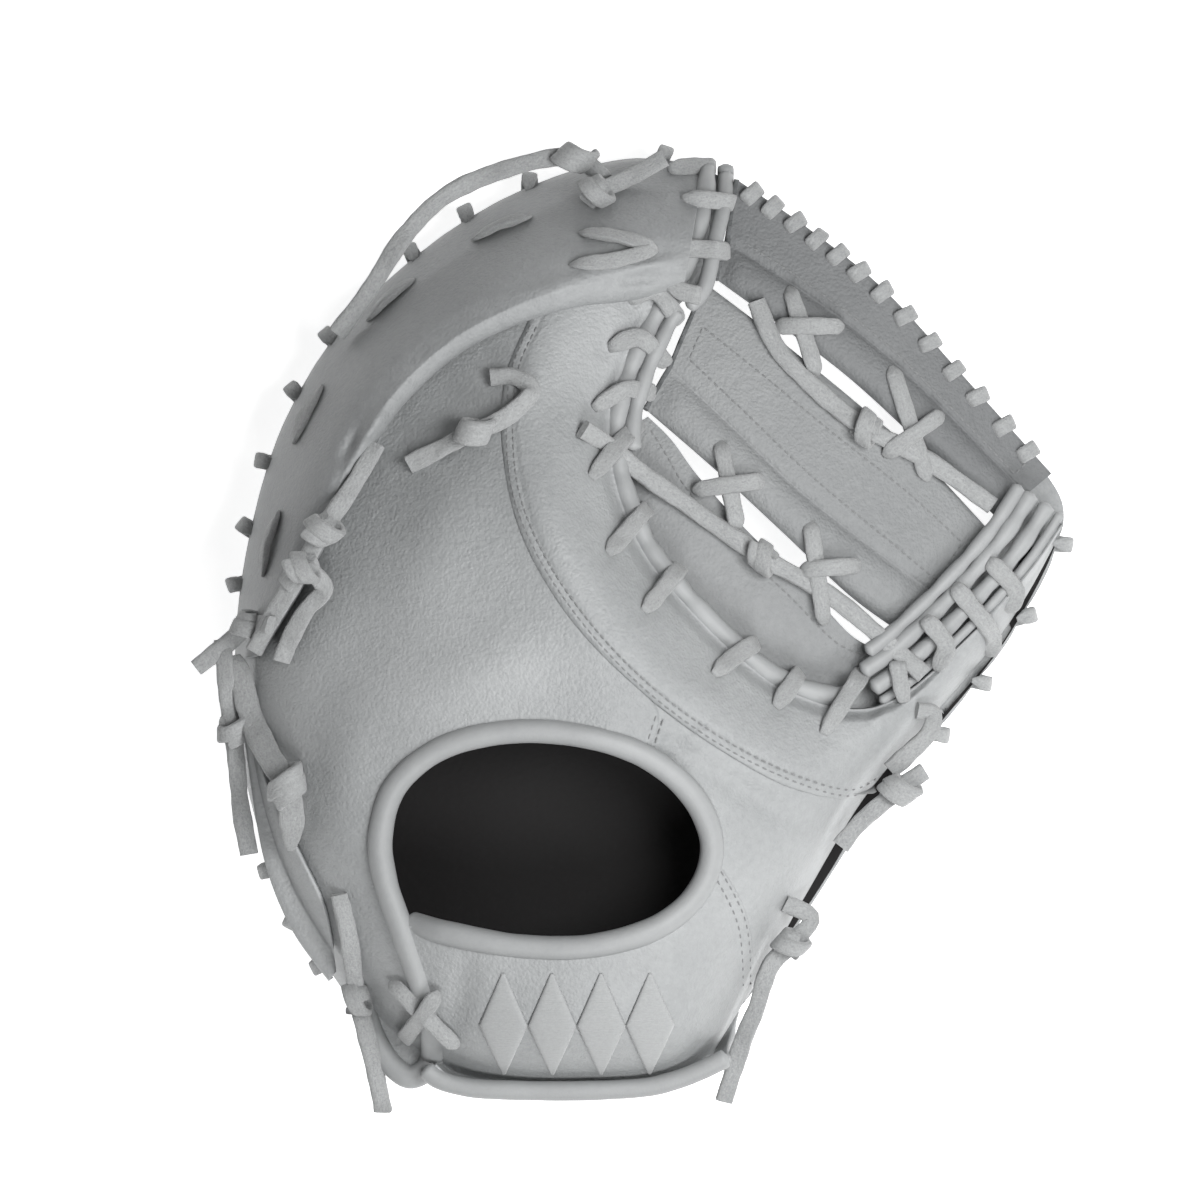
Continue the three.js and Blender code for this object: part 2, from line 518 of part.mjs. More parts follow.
// A web strap: a flat double leather from its outer edge to its fold, and a soft tube on to its inner edge.
function webStrap(rows) {
  const loops = spread(9).map((u) => {
    const t = u * (rows.length - 1);
    const at = (a, b) => place(between(rows, a, t), between(rows, b, t));
    const [top, fold, low] = [at("top_x", "top_y"), at("fold_x", "fold_y"), at("low_x", "low_y")];
    const round = smooth(0, 0.14, u) * smooth(0, 0.14, 1 - u);
    const up = web_leather + (web_tube_height * 0.62 - web_leather) * round;
    const down = -web_tube_height * 0.38 * round;
    const point = (from, to, share, z) => {
      const p = from.clone().lerp(to, share);
      return p.setZ(webBase(p) + z);
    };
    return [
      point(top, fold, 0, web_leather), point(top, fold, 0.5, web_leather), point(top, fold, 1, web_leather),
      point(fold, low, 0.15, web_leather), point(fold, low, 0.5, up), point(fold, low, 0.88, up * 0.75),
      point(fold, low, 1, (up + down) / 2), point(fold, low, 0.88, down * 0.75), point(fold, low, 0.5, down),
      point(top, fold, 1, 0), point(top, fold, 0.5, 0), point(top, fold, 0, 0),
    ];
  });
  return loft(loops);
}

// The web's innermost leaf is one flat leather, tucked under the binding.
function webLeaf(rows) {
  const loops = spread(9).map((u) => {
    const t = u * (rows.length - 1);
    const top = place(between(rows, "top_x", t), between(rows, "top_y", t));
    const low = place(between(rows, "low_x", t), between(rows, "low_y", t));
    const point = (share, z) => {
      const p = top.clone().lerp(low, share);
      return p.setZ(webBase(p) + z);
    };
    return [
      point(0, shell_wall), point(0.5, shell_wall), point(1, shell_wall),
      point(1, 0), point(0.5, 0), point(0, 0),
    ];
  });
  return loft(loops);
}

// A solid through closed loops of points, one after another, with flat ends.
function loft(loops) {
  const n = loops[0].length;
  const faces = [];
  for (let i = 0; i < loops.length - 1; i++) {
    for (let k = 0; k < n; k++) {
      const [a, b] = [n * i + k, n * i + ((k + 1) % n)];
      faces.push(...quad(a, a + n, b + n, b));
    }
  }
  const last = n * (loops.length - 1);
  for (let k = 1; k < n - 1; k++) {
    faces.push([0, k, k + 1], [last, last + k + 1, last + k]);
  }
  return solidFrom(loops.flat(), faces);
}

// The back's height, carried on level past its edge.
function drape(p) {
  const { r } = locate(p);
  if (r < 0.955) return backHeight(p);
  return backHeight(p.clone().setZ(0).sub(centre).multiplyScalar(0.955 / r).add(centre));
}
const overAll = (p) => drape(p) + coverLift(p);
const webDrape = (p) => webBase(p) + web_leather;

// A strand of lace through rows of [x, y, height over the base] with a barrel knot at some of them.
function strand(rows, base, options = {}) {
  const { width = lace_width, thickness = lace_thickness, knots = [], samples = 2 } = options;
  const points = rows.map(([x, y, up]) => {
    const p = place(x, y);
    return p.setZ(base(p) + up);
  });
  const curve = new THREE.CatmullRomCurve3(points, false, "centripetal");
  const path = spread((rows.length - 1) * samples).map((s) => curve.getPoint(s));
  const ups = path.map(() => new THREE.Vector3(0, 0, 1));
  return (grow) =>
    knots.reduce((solid, [row, size, turn]) => {
      const p = points[row];
      const block = barrel(size / 2 + grow, size * 0.8 + 2 * grow);
      return solid.add(block.rotate([0, 0, turn]).translate([p.x, p.y, p.z + size * 0.12]));
    }, lace(path, ups, width, thickness, grow));
}

// A short bulging drum on its side, for a knot pulled tight.
function barrel(radius, length) {
  const loops = [-0.5, -0.25, 0.25, 0.5].map((s) => {
    const r = radius * (Math.abs(s) === 0.5 ? 0.62 : 1);
    return spread(6).slice(1).map((share) => {
      const a = share * 2 * Math.PI;
      return new THREE.Vector3(s * length, r * Math.cos(a), r * Math.sin(a) * 0.85);
    });
  });
  return loft(loops);
}

// Lace wound round an edge. frame(u) gives a point of the edge and the plan direction away from the leather.
// turn(u, frame) gives the corners of one turn, from the hidden run to its end on the leather, as
// [mm away from the leather, mm up]. A narrow cord along the first corners joins the turns.
function coil(stations, frame, turn, { width = lace_width, thickness = lace_thickness, cord = 2.2 } = {}) {
  const turns = stations.map((u) => {
    const { p, away } = frame(u);
    const corners = turn(u, { p, away });
    return { away, path: corners.map(([out, up]) => p.clone().addScaledVector(away, out).setZ(p.z + up)) };
  });
  const run = turns.map(({ path }) => path[0]);
  return (grow) =>
    turns.reduce(
      (all, { away, path }) => all.add(turnOfLace(path, away, width, thickness, grow)),
      lace(run, run.map(() => new THREE.Vector3(0, 0, 1)), cord, cord, grow),
    );
}

// A flat turn of lace through corners in the upright plane along away.
function turnOfLace(path, away, width, thickness, grow) {
  const across = leftOf(away);
  const ups = path.map((p, i) => {
    const way = path[Math.min(i + 1, path.length - 1)].clone().sub(path[Math.max(i - 1, 0)]);
    return way.cross(across).normalize();
  });
  return lace(path, ups, width, thickness, grow);
}

// An upright hole for a turn of lace, between two distances from the edge.
function laceHole({ p, away }, from, to, low, high, width = lace_width) {
  const block = new THREE.BoxGeometry(to - from, width + 2 * fit_gap + 0.2, high - low);
  block.translate((from + to) / 2, 0, (low + high) / 2).rotateZ(Math.atan2(away.y, away.x));
  return solidOf(block.translate(p.x, p.y, p.z));
}

// The laced edge of palm and back at row t.
const rimFrame = (t) => ({
  p: outward(t, edgeRow("flare", t)).setZ(edgeRow("edge", t) * crown_height),
  away: outward(t, 1).sub(centre).normalize(),
});
const rimTurn = () => [[-7.4, 3.4], [-6.8, -6.6], [1.4, -7.6], [3.6, -3.4], [3.6, 3.2], [1.9, 7.8]];
const rimHole = (t) => laceHole(rimFrame(t), -9.6, 12, -9.8, 5);

// A binding roll along a plan line.
const bindingFrame = (line, height) => (u) => {
  const p = line(u);
  return { p: p.setZ(height(p)), away: leftOf(line(u + 0.05).sub(line(u - 0.05))) };
};
const bindingTurn = (leather_side, web_side, clear) => (u, { p, away }) => {
  const over = (out) => {
    const q = p.clone().addScaledVector(away, out);
    return Math.max(clear, backHeight(q) - p.z + 0.5 * lace_thickness + 2.2);
  };
  const under = p.clone().addScaledVector(away, web_side);
  const low = Math.max(-clear, webDrape(under) - p.z + 0.5 * lace_thickness + fit_gap + 0.4);
  return [
    [-2, low], [web_side, low], [web_side, 0.6 * clear], [0.62 * web_side, clear],
    [-0.5 * leather_side, over(-0.5 * leather_side)], [-leather_side, over(-leather_side)],
  ];
};

// Every piece gives way to those added before it, by fit_gap.
const pieces = new Map();
const keep_outs = [];

const lace_holes = [];

function add(name, solid, material, keep_out, tolerance = 0.14) {
  const box = solid.boundingBox();
  for (const other of keep_outs) {
    const b = other.boundingBox();
    const apart = [0, 1, 2].some((k) => b.min[k] > box.max[k] || b.max[k] < box.min[k]);
    if (!apart && solid.intersect(other).volume() > 0.001) solid = solid.subtract(other);
  }
  pieces.set(name, { solid: cleaned(solid, tolerance), material });
  if (keep_out) keep_outs.push(keep_out);
}

const addGrown = (name, make, material) => add(name, make(0), material, make(fit_gap), 0.2);
const addRoll = (name, points, radius, steps, sides) =>
  addGrown(name, (grow) => roll(points, radius + grow, steps, sides), leather_grey);

const bindingHeight = (p) => bowlHeight(p) + web_edge_lift - 1;
const fingerEndHeight = (p) => backHeight(p) + 1;

// Laces wound round the edges, each with the rows of its line where it shows.
const rim_laces = {
  finger_rim_lace: [0.85, 2.35, 3.05, 3.72, 4.95, 5.62, 6.4, 7.15, 7.72],
  heel_rim_lace: [10.8, 11.35, 11.9],
  thumb_rim_lace: [19.2, 19.8, 20.4, 21.1, 21.8],
};
for (const [name, stations] of Object.entries(rim_laces)) {
  addGrown(name, coil(stations, rimFrame, rimTurn), lace_grey);
  lace_holes.push(...stations.map(rimHole));
}

const binding_laces = {
  thumb_binding_lace: {
    stations: [4.6, 5.6, 6.6, 7.4, 8.6, 9.75, 11.2, 12.2, 13.3], leather: 9.5, web: 5.8, clear: 5.9,
  },
  thumb_end_lace: { stations: [14.1, 14.8, 15.5, 16.2, 16.9, 17.5], leather: 11.6, web: 9.9, clear: 5.4 },
  finger_end_lace: { stations: [0.35, 1.1, 1.9, 2.7], leather: 10.6, web: 7, clear: 5.8 },
};
for (const [name, { stations, leather: leather_side, web, clear }] of Object.entries(binding_laces)) {
  const height = name === "finger_end_lace" ? fingerEndHeight : bindingHeight;
  const frame = bindingFrame(webLine, height);
  addGrown(name, coil(stations, frame, bindingTurn(leather_side, web, clear)), lace_grey);
}

const webEdgeFrame = (u) => {
  const at = (k) => place(between(outer_strap_rows, "top_x", k), between(outer_strap_rows, "top_y", k));
  const p = at(u);
  return { p: p.setZ(webBase(p) + web_leather / 2), away: leftOf(at(u + 0.05).sub(at(u - 0.05))) };
};
const web_edge_stations = spread(12).map((s) => 0.25 + 3.5 * s);
const webEdgeTurn = () => [[-3.6, -3.7], [1.7, -3.6], [1.7, 3.6], [-3.6, 3.6]];
addGrown(
  "web_edge_lace",
  coil(web_edge_stations, webEdgeFrame, webEdgeTurn, { width: 4.2, thickness: 2, cord: 1.6 }),
  lace_grey,
);

// Strands of lace over the back: rows of [x, y, height over the leather], and knots as [row, size, turn].
const back_strands = {
  finger_top_lace: {
    rows: [
      [0.61, 0.918, 3], [0.575, 0.945, 5], [0.52, 0.938, 6], [0.45, 0.91, 8], [0.405, 0.868, 8],
      [0.37, 0.815, 6], [0.335, 0.768, 3],
    ],
    knots: [[1, 10, 40]],
  },
  finger_top_lace_end: {
    rows: [[0.665, 0.945, 6], [0.63, 0.925, 6], [0.597, 0.91, 6.4], [0.588, 0.9, 6]],
    knots: [[2, 9.5, 20]],
  },
  hand_back_lace: {
    rows: [
      [0.492, 0.722, 2.4], [0.515, 0.722, 3], [0.532, 0.708, 3.2], [0.515, 0.688, 3.6],
      [0.495, 0.675, 4.2], [0.475, 0.668, 5], [0.445, 0.652, 3.6], [0.41, 0.635, 2.4],
    ],
    knots: [[5, 9.5, 60]],
  },
  finger_side_lace: {
    rows: [
      [0.378, 0.655, 3], [0.352, 0.61, 4.4], [0.325, 0.57, 6], [0.3, 0.525, 4.6], [0.275, 0.485, 3.6],
      [0.255, 0.45, 3],
    ],
    knots: [[2, 10, 30]],
  },
  finger_ring_lace: {
    rows: [
      [0.287, 0.515, 7], [0.305, 0.532, 7.4], [0.326, 0.512, 6], [0.308, 0.49, 6], [0.295, 0.468, 5],
      [0.282, 0.44, 3.6],
    ],
    knots: [[1, 9, 0]],
  },
  finger_side_tail: {
    rows: [[0.272, 0.475, 7], [0.25, 0.475, 7.4], [0.225, 0.455, 5], [0.195, 0.432, 2.4]],
    knots: [[1, 9.5, 60]],
  },
  little_finger_lace: {
    rows: [
      [0.222, 0.46, 4], [0.226, 0.41, 5], [0.232, 0.37, 5], [0.236, 0.335, 5], [0.24, 0.29, 2],
      [0.248, 0.245, 0],
    ],
    knots: [[2, 8.5, 90]],
  },
  heel_left_lace: {
    rows: [
      [0.34, 0.207, 2.6], [0.35, 0.16, 4], [0.357, 0.1, 6], [0.365, 0.07, 5], [0.375, 0.025, 0],
      [0.382, -0.013, -8],
    ],
    knots: [[2, 9, 0]],
  },
  thumb_side_loop: {
    rows: [
      [0.918, 0.389, 2.6], [0.934, 0.386, 3.4], [0.931, 0.368, 3.6], [0.912, 0.348, 2.8], [0.891, 0.329, 2.2],
    ],
    knots: [],
  },
  thumb_side_lace: {
    rows: [[0.925, 0.328, 2], [0.9, 0.31, 4], [0.862, 0.278, 3], [0.841, 0.253, 2]],
    knots: [[1, 9.5, 30]],
  },
  heel_right_lace: {
    rows: [
      [0.785, 0.196, 0], [0.812, 0.181, 1.6], [0.792, 0.156, 2.6], [0.77, 0.132, 2], [0.757, 0.09, -4],
      [0.745, 0.06, -10], [0.725, -0.005, -20],
    ],
    knots: [[2, 9, 50]],
  },
};
for (const [name, { rows, knots }] of Object.entries(back_strands)) {
  addGrown(name, strand(rows, overAll, { knots }), lace_grey);
}

const web_strands = {
  web_tie_lace: {
    rows: [
      [0.757, 0.8, 2.4], [0.78, 0.75, 2.6], [0.83, 0.7, 2.6], [0.868, 0.672, 3], [0.93, 0.64, 3.4],
      [0.995, 0.595, 4],
    ],
    knots: [[3, 9.5, -40]],
  },
  crotch_tie_lace: {
    rows: [
      [0.583, 0.67, 24], [0.612, 0.652, 12.5], [0.64, 0.628, 6], [0.68, 0.6, 2.4], [0.763, 0.543, 2.6],
      [0.83, 0.505, 2.8], [0.885, 0.46, 8], [0.925, 0.425, 12.4],
    ],
    knots: [[4, 8.5, -35]],
  },
};
for (const [name, { rows, knots }] of Object.entries(web_strands)) {
  addGrown(name, strand(rows, webDrape, { knots }), lace_grey);
}

// Two strips that cross: [from x, from y, to x, to y] of the lower and of the upper one. Their ends
// go into the leather.
const crosses = {
  web_cross_lace_1: [[0.79, 0.815, 0.818, 0.725], [0.775, 0.775, 0.845, 0.775]],
  web_cross_lace_2: [[0.893, 0.735, 0.93, 0.62], [0.885, 0.645, 0.945, 0.688]],
  web_cross_lace_3: [[0.72, 0.66, 0.738, 0.57], [0.693, 0.61, 0.765, 0.62]],
  web_cross_lace_4: [[0.81, 0.58, 0.825, 0.475], [0.8, 0.53, 0.862, 0.535]],
  strap_cross_lace: [[0.391, 0.12, 0.458, 0.054], [0.403, 0.059, 0.44, 0.111]],
};
for (const [name, strips] of Object.entries(crosses)) {
  const [base, over] = name === "strap_cross_lace" ? [drape, 5.4] : [webDrape, 4.2];
  const made = strips.map(([x0, y0, x1, y1], upper) => {
    const at = (share, up) => {
      const arch = upper * 1.6 * Math.sin(Math.PI * share);
      return [x0 + (x1 - x0) * share, y0 + (y1 - y0) * share, up + arch];
    };
    const rows = [at(0, over - 2), at(0.16, over), at(0.5, over + 0.4), at(0.84, over), at(1, over - 2)];
    return strand(rows, base, { width: 5.4, samples: 1 });
  });
  addGrown(name, (grow) => made[0](grow).add(made[1](grow)), lace_grey);
}

addGrown(
  "little_finger_strap",
  strand(
    [
      [0.235, 0.445, 4], [0.25, 0.385, 6.5], [0.268, 0.347, 7.5], [0.288, 0.315, 8], [0.293, 0.28, 7.5],
      [0.291, 0.25, 7],
    ],
    drape,
    { width: strap_width, thickness: 3, knots: [[3, 10, 10]] },
  ),
  lace_grey,
);

// Rolled bindings.
const lineAlong = (rows, from, to, n) => spread(n).map((s) => along(rows, from + (to - from) * s));
const offset = (line, mm) =>
  line.map((p, i) => {
    const way = line[Math.min(i + 1, line.length - 1)].clone().sub(line[Math.max(i - 1, 0)]);
    return p.clone().addScaledVector(leftOf(way), mm);
  });
const atHeight = (line, height) => line.map((p) => p.clone().setZ(height(p)));
const opening_line = [...flap_roll_rows, ...strap_roll_rows.slice(1, 6)].map(({ x, y }) => place(x, y));
addRoll("opening_roll", atHeight(opening_line, (p) => drape(p) - 1), opening_roll_radius, 34, 6);
const strap_edge = [
  [0.441, 0.038], [0.456, 0.027], [0.49, 0.0215], [0.568, 0.019], [0.64, 0.022], [0.69, 0.034],
  [0.722, 0.057],
];
addRoll("strap_lower_roll", strap_edge.map(([x, y]) => place(x, y, wrist_height + 1)), roll_radius, 14, 6);
const binding = atHeight(lineAlong(web_edge_rows, 4.3, 13.2, 18), bindingHeight);
addRoll("thumb_binding_roll", binding, roll_radius, 22, 6);
const finger_end = atHeight(lineAlong(web_edge_rows, 0.3, 3.6, 6), fingerEndHeight);
addRoll("finger_end_roll", offset(finger_end, -3), 3, 7, 6);
addRoll("finger_end_welt", offset(finger_end.slice(1, 6), 3.2), 1.9, 7, 6);
const thumb_end = atHeight(lineAlong(web_edge_rows, 13.6, 17.9, 8), bindingHeight);
addRoll("thumb_end_roll", offset(thumb_end, -1.4), 2.9, 8, 6);
addRoll("thumb_end_web_roll", offset(thumb_end, 5), 2.9, 8, 6);
addRoll("thumb_end_welt", offset(thumb_end, -6.4), 1.6, 8, 5);

// Shells.
const palm = palmBody();
const back = backBody();
const thumb_line = spread(18).map((s) => {
  const t = s * (thumb_rows.length - 1);
  return place(between(thumb_rows, "out_x", t), between(thumb_rows, "out_y", t));
});
const thumb_side = [
  ...thumb_line.slice(0, 14), place(1.3, 0.3), place(1.3, 1.2), place(0.8, 1.2), place(0.55, 0.85),
];
const band_side = [
  place(0.256, 0.434),
  ...spread(20).reverse().map((s) => {
    const t = s * (band_rows.length - 1);
    const at = (name) => between(band_rows, name, t);
    return place(at("lip_x"), at("lip_y")).lerp(place(at("rim_x"), at("rim_y")), 0.13);
  }),
  place(0.8, 0.8), place(0.8, 1.2), place(0, 1.2), place(0, 0.434),
];
add("palm_shell", pierced(palm.subtract(webBlock(palm_edge_rows))), leather_grey);
const thumb_leather = leather(thumbSurface, spread(18), spread(8), shell_wall);
add("thumb_panel", thumb_leather.intersect(upright(thumb_side)), leather_grey);
add("finger_band", leather(bandSurface, spread(18), spread(9), shell_wall), leather_grey);
add("web_outer_strap", webStrap(outer_strap_rows), leather_grey);
add("web_middle_strap", webStrap(middle_strap_rows), leather_grey);
add("web_inner_panel", webLeaf(inner_panel_rows), leather_grey);

const flapSurface = (u, v) => {
  const at = (name) => between(flap_rows, name, u * (flap_rows.length - 1));
  const p = place(at("left_x"), at("left_y")).lerp(place(at("right_x"), at("right_y")), v);
  return p.setZ(drape(p) + 5.4);
};
add("little_finger_flap", leather(flapSurface, spread(8), spread(3), 1.8), leather_grey);

const liningFace = (up) => (t, r) => outward(t, r * flareAt(t, r)).setZ(palmTop(t, r) + up);
const lining = disc(liningFace(fit_gap + lining_wall), liningFace(fit_gap), COLUMNS, PALM_SHARES.slice(0, 4));
const hand_area = upright([
  place(0.3, 0.1), place(0.8, 0.1), place(0.8, 0.32), place(0.66, 0.48), place(0.55, 0.6), place(0.3, 0.6),
]);
add("palm_lining", lining.intersect(hand_area), lining_black);

// The back is cut into panels where its seams run.
const roll_room = opening_roll_radius + fit_gap;
const hole = curveThrough(opening_rows.map(({ x, y }) => place(x, y)), true).getPoints(30).slice(1);
const opening = upright(offset([hole.at(-1), ...hole, hole[0]], roll_room).slice(1, -1));
const seams = [SIDE_SEAM, STRAP_SEAM].map((line) => seamWall(planLine(line, 16)));
seams.push(seamWall(planLine(FLAP_SEAM, 16), 2 * roll_room));
seams.push(seamWall(thumb_line, 2 * seam_gap));
const cutters = [opening, upright(thumb_side), upright(band_side), archCutter(), ...seams];
const panels = cutters.reduce((solid, cutter) => solid.subtract(cutter), back).decompose();
const panel_spots = {
  hand_back_panel: [0.4, 0.5],
  side_panel: [0.76, 0.26],
  wrist_strap: [0.6, 0.1],
};
for (const [name, [x, y]] of Object.entries(panel_spots)) {
  const p = place(x, y);
  const corners = [[-1, -1], [1, -1], [1, 1], [-1, 1]];
  const spot = upright(corners.map(([i, j]) => new THREE.Vector3(p.x + i, p.y + j, 0)));
  add(name, panels.find((solid) => solid.intersect(spot).volume() > 0), leather_grey);
}

function archCutter() {
  const shape = new THREE.Shape();
  const [left, right] = [place(0.425, 0).x, place(0.712, 0).x];
  shape.moveTo(left, 5);
  shape.lineTo(right, 5);
  shape.lineTo(right, wrist_height - 14);
  shape.quadraticCurveTo(right, wrist_height, right - 14, wrist_height);
  shape.lineTo(left + 14, wrist_height);
  shape.quadraticCurveTo(left, wrist_height, left, wrist_height - 14);
  const options = { depth: 0.2 * unit_y, bevelEnabled: false, curveSegments: 5 };
  const arch = new THREE.ExtrudeGeometry(shape, options);
  return solidOf(arch.rotateX(Math.PI / 2).translate(0, place(0, 0.12).y, 0));
}

function webBlock(rows) {
  const line = spread(40).map((s) => along(rows, s * (rows.length - 1)));
  return upright([...line, place(1.2, 0.66), place(1.2, 1.1), place(0.74, 1.1)]);
}

const mitt = new THREE.Group();
for (const [name, { solid, material }] of pieces) {
  const { vertProperties, triVerts } = solid.getMesh();
  const geometry = new THREE.BufferGeometry()
    .setAttribute("position", new THREE.BufferAttribute(new Float32Array(vertProperties), 3))
    .setIndex(new THREE.BufferAttribute(new Uint32Array(triVerts), 1));
  geometry.computeVertexNormals();
  const mesh = new THREE.Mesh(geometry, material);
  mesh.name = name;
  mitt.add(mesh);
}

// The origin is the middle of the whole mitt's footprint.
const box = new THREE.Box3().setFromObject(mitt);
const middle = box.getCenter(new THREE.Vector3());
mitt.position.set(-middle.x, -middle.y, -box.min.z);

export default mitt;
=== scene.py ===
"""The looks of a first baseman's mitt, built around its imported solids.

Tables give plan points as shares of a square frame, and heights in millimetres. Every shape is worked out
in millimetres in the row frame, and its mesh is made in metres.
"""
import math

import bmesh
import bpy
import numpy as np
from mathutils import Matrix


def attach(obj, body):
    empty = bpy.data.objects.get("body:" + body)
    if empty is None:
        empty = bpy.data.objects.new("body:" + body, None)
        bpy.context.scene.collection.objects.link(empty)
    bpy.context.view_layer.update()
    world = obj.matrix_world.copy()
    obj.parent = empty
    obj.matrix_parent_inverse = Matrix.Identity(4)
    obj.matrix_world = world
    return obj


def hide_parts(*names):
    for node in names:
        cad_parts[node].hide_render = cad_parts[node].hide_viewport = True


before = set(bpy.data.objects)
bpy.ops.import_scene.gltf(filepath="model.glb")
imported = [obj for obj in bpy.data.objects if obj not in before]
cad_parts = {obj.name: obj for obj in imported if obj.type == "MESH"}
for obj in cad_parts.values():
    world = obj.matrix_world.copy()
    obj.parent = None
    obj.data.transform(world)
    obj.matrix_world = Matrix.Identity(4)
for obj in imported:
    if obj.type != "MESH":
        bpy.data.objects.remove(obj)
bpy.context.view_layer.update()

# Sizes, in millimetres.
CROWN = 98.0
POCKET = 50.0
PALM_WALL = 6.0
PALM_LEDGE = 0.8
SHELL_WALL = 3.0
BACK_WALL = 2.6
THUMB_WALL = 2.2
CURL_WALL = 2.4
BAND_WALL = 1.6
FLAP_WALL = 1.8
LEAF_WALL = 2.8
LINING_WALL = 1.1
RIM_PAD = 18.0
RIM_LAP = 2.5
SEAM_GAP = 0.6
FIT_GAP = 0.35
OVERLAP = 0.5
BAND_GAP = 0.4
FLAP_LIFT = 3.9
THUMB_FOLD = 1.15
PULL_DEPTH = 0.8
PULL_RADIUS = 3.4
LACE = (5.8, 2.7)
RIM_LACE = (5.0, 2.9)
EDGE_LACE = (5.0, 2.6)
SLIT_LACE = (5.2, 2.4)
BROAD_LACE = (8.0, 2.6)
CROSS_WIDTH = 5.4
ROLL_RADIUS = 3.5
OPENING_RADIUS = 3.9
STRAP_ROLL_RADIUS = 3.1
WEB_LEATHER = 4.2
WEB_TUBE = 10.0
WEB_LIFT = 19.6
WEB_REACH = 34.0
STRAP_EDGE_HEIGHT = 59.0

# Rolls beside the web's edge: how far they lie to its left, and their radius.
BINDING_ROLL = (0.0, ROLL_RADIUS)
BINDING_INNER = (5.4, 2.7)
FINGER_ROLL = (-3.0, 3.0)
FINGER_WELT = (3.2, 2.6)
THUMB_END_ROLLS = {
    "thumb_end_welt": (-6.4, 1.6),
    "thumb_end_roll": (-1.4, 2.9),
    "thumb_end_web_roll": (5.0, 2.9),
    "thumb_end_inner": (9.6, 2.4),
}

UNIT = np.array([272 / 0.85, 303 / 0.947])
PLAN_MIDDLE = np.array([0.65, 0.475])
FRAME_SHIFT = np.array([4.55, 0.525])
UP = np.array([0, 0, 1.0])

# The laced edge, once round from the web past the little finger, the heel and the thumb:
# x, y, seam height, height further in (shares of CROWN), how far out the back stays high, padding, flare.
EDGE = np.array([
    (0.735, 0.922, 0.25, 0.66, 3.0, 0.85, 1.0), (0.65, 0.948, 0.19, 0.7, 3.0, 0.95, 1.0),
    (0.56, 0.932, 0.15, 0.73, 3.0, 1.0, 1.0), (0.47, 0.89, 0.14, 0.75, 3.0, 1.0, 1.0),
    (0.39, 0.83, 0.14, 0.76, 3.0, 1.0, 1.0), (0.325, 0.76, 0.15, 0.78, 3.0, 1.0, 1.0),
    (0.277, 0.675, 0.17, 0.8, 3.2, 0.9, 1.0), (0.249, 0.585, 0.2, 0.82, 3.6, 0.85, 1.0),
    (0.233, 0.49, 0.22, 0.84, 4.2, 0.85, 1.0), (0.231, 0.395, 0.22, 0.85, 4.6, 0.85, 1.0),
    (0.245, 0.3, 0.21, 0.86, 5.0, 0.9, 1.0), (0.275, 0.21, 0.19, 0.87, 5.5, 0.95, 1.0),
    (0.325, 0.125, 0.17, 0.87, 6.0, 1.0, 1.0), (0.385, 0.05, 0.15, 0.87, 7.0, 1.0, 0.99),
    (0.47, 0.008, 0.14, 0.88, 9.0, 1.0, 0.97), (0.58, 0.002, 0.14, 0.9, 10.0, 1.0, 0.965),
    (0.685, 0.015, 0.15, 0.88, 9.0, 1.0, 0.975), (0.745, 0.09, 0.18, 0.86, 7.0, 0.95, 1.0),
    (0.805, 0.195, 0.22, 0.84, 6.0, 0.85, 1.03), (0.868, 0.3, 0.24, 0.82, 5.2, 0.85, 1.045),
    (0.94, 0.385, 0.23, 0.76, 4.6, 0.85, 1.04), (1.012, 0.472, 0.2, 0.66, 4.2, 0.95, 1.025),
    (1.07, 0.575, 0.17, 0.55, 4.2, 1.16, 1.0), (1.045, 0.638, 0.19, 0.52, 3.2, 1.0, 1.0),
    (0.955, 0.735, 0.27, 0.58, 2.5, 0.6, 1.0), (0.85, 0.84, 0.29, 0.64, 2.5, 0.6, 1.0),
])

# The edge of the back leather along the web, and that of the palm under it.
WEB_EDGE = np.array([
    (0.717, 0.95), (0.716, 0.91), (0.706, 0.865), (0.69, 0.822), (0.668, 0.803), (0.65, 0.775),
    (0.628, 0.725), (0.616, 0.67), (0.624, 0.612), (0.65, 0.55), (0.69, 0.5), (0.738, 0.452), (0.785, 0.418),
    (0.842, 0.404), (0.888, 0.426), (0.932, 0.463), (0.978, 0.508), (1.018, 0.554), (1.05, 0.602),
])
PALM_EDGE = np.array([
    (0.73, 0.97), (0.729, 0.908), (0.72, 0.865), (0.703, 0.821), (0.68, 0.798), (0.66, 0.77), (0.638, 0.722),
    (0.626, 0.67), (0.634, 0.622), (0.657, 0.557), (0.697, 0.506), (0.744, 0.459), (0.788, 0.427),
    (0.834, 0.417), (0.87, 0.442), (0.914, 0.479), (0.96, 0.524), (1.0, 0.57), (1.05, 0.64),
])

# The finger band from the web to the little finger: its free lip, the rim behind it, how far it stands up.
BAND = np.array([
    (0.684, 0.812, 0.706, 0.942, 6), (0.63, 0.799, 0.645, 0.948, 8), (0.58, 0.793, 0.56, 0.932, 9),
    (0.52, 0.775, 0.47, 0.89, 10), (0.46, 0.745, 0.39, 0.83, 10), (0.405, 0.695, 0.325, 0.76, 9.5),
    (0.365, 0.635, 0.277, 0.675, 8.5), (0.335, 0.57, 0.249, 0.585, 7), (0.3, 0.505, 0.233, 0.49, 5),
    (0.262, 0.445, 0.23, 0.44, 3.5),
])

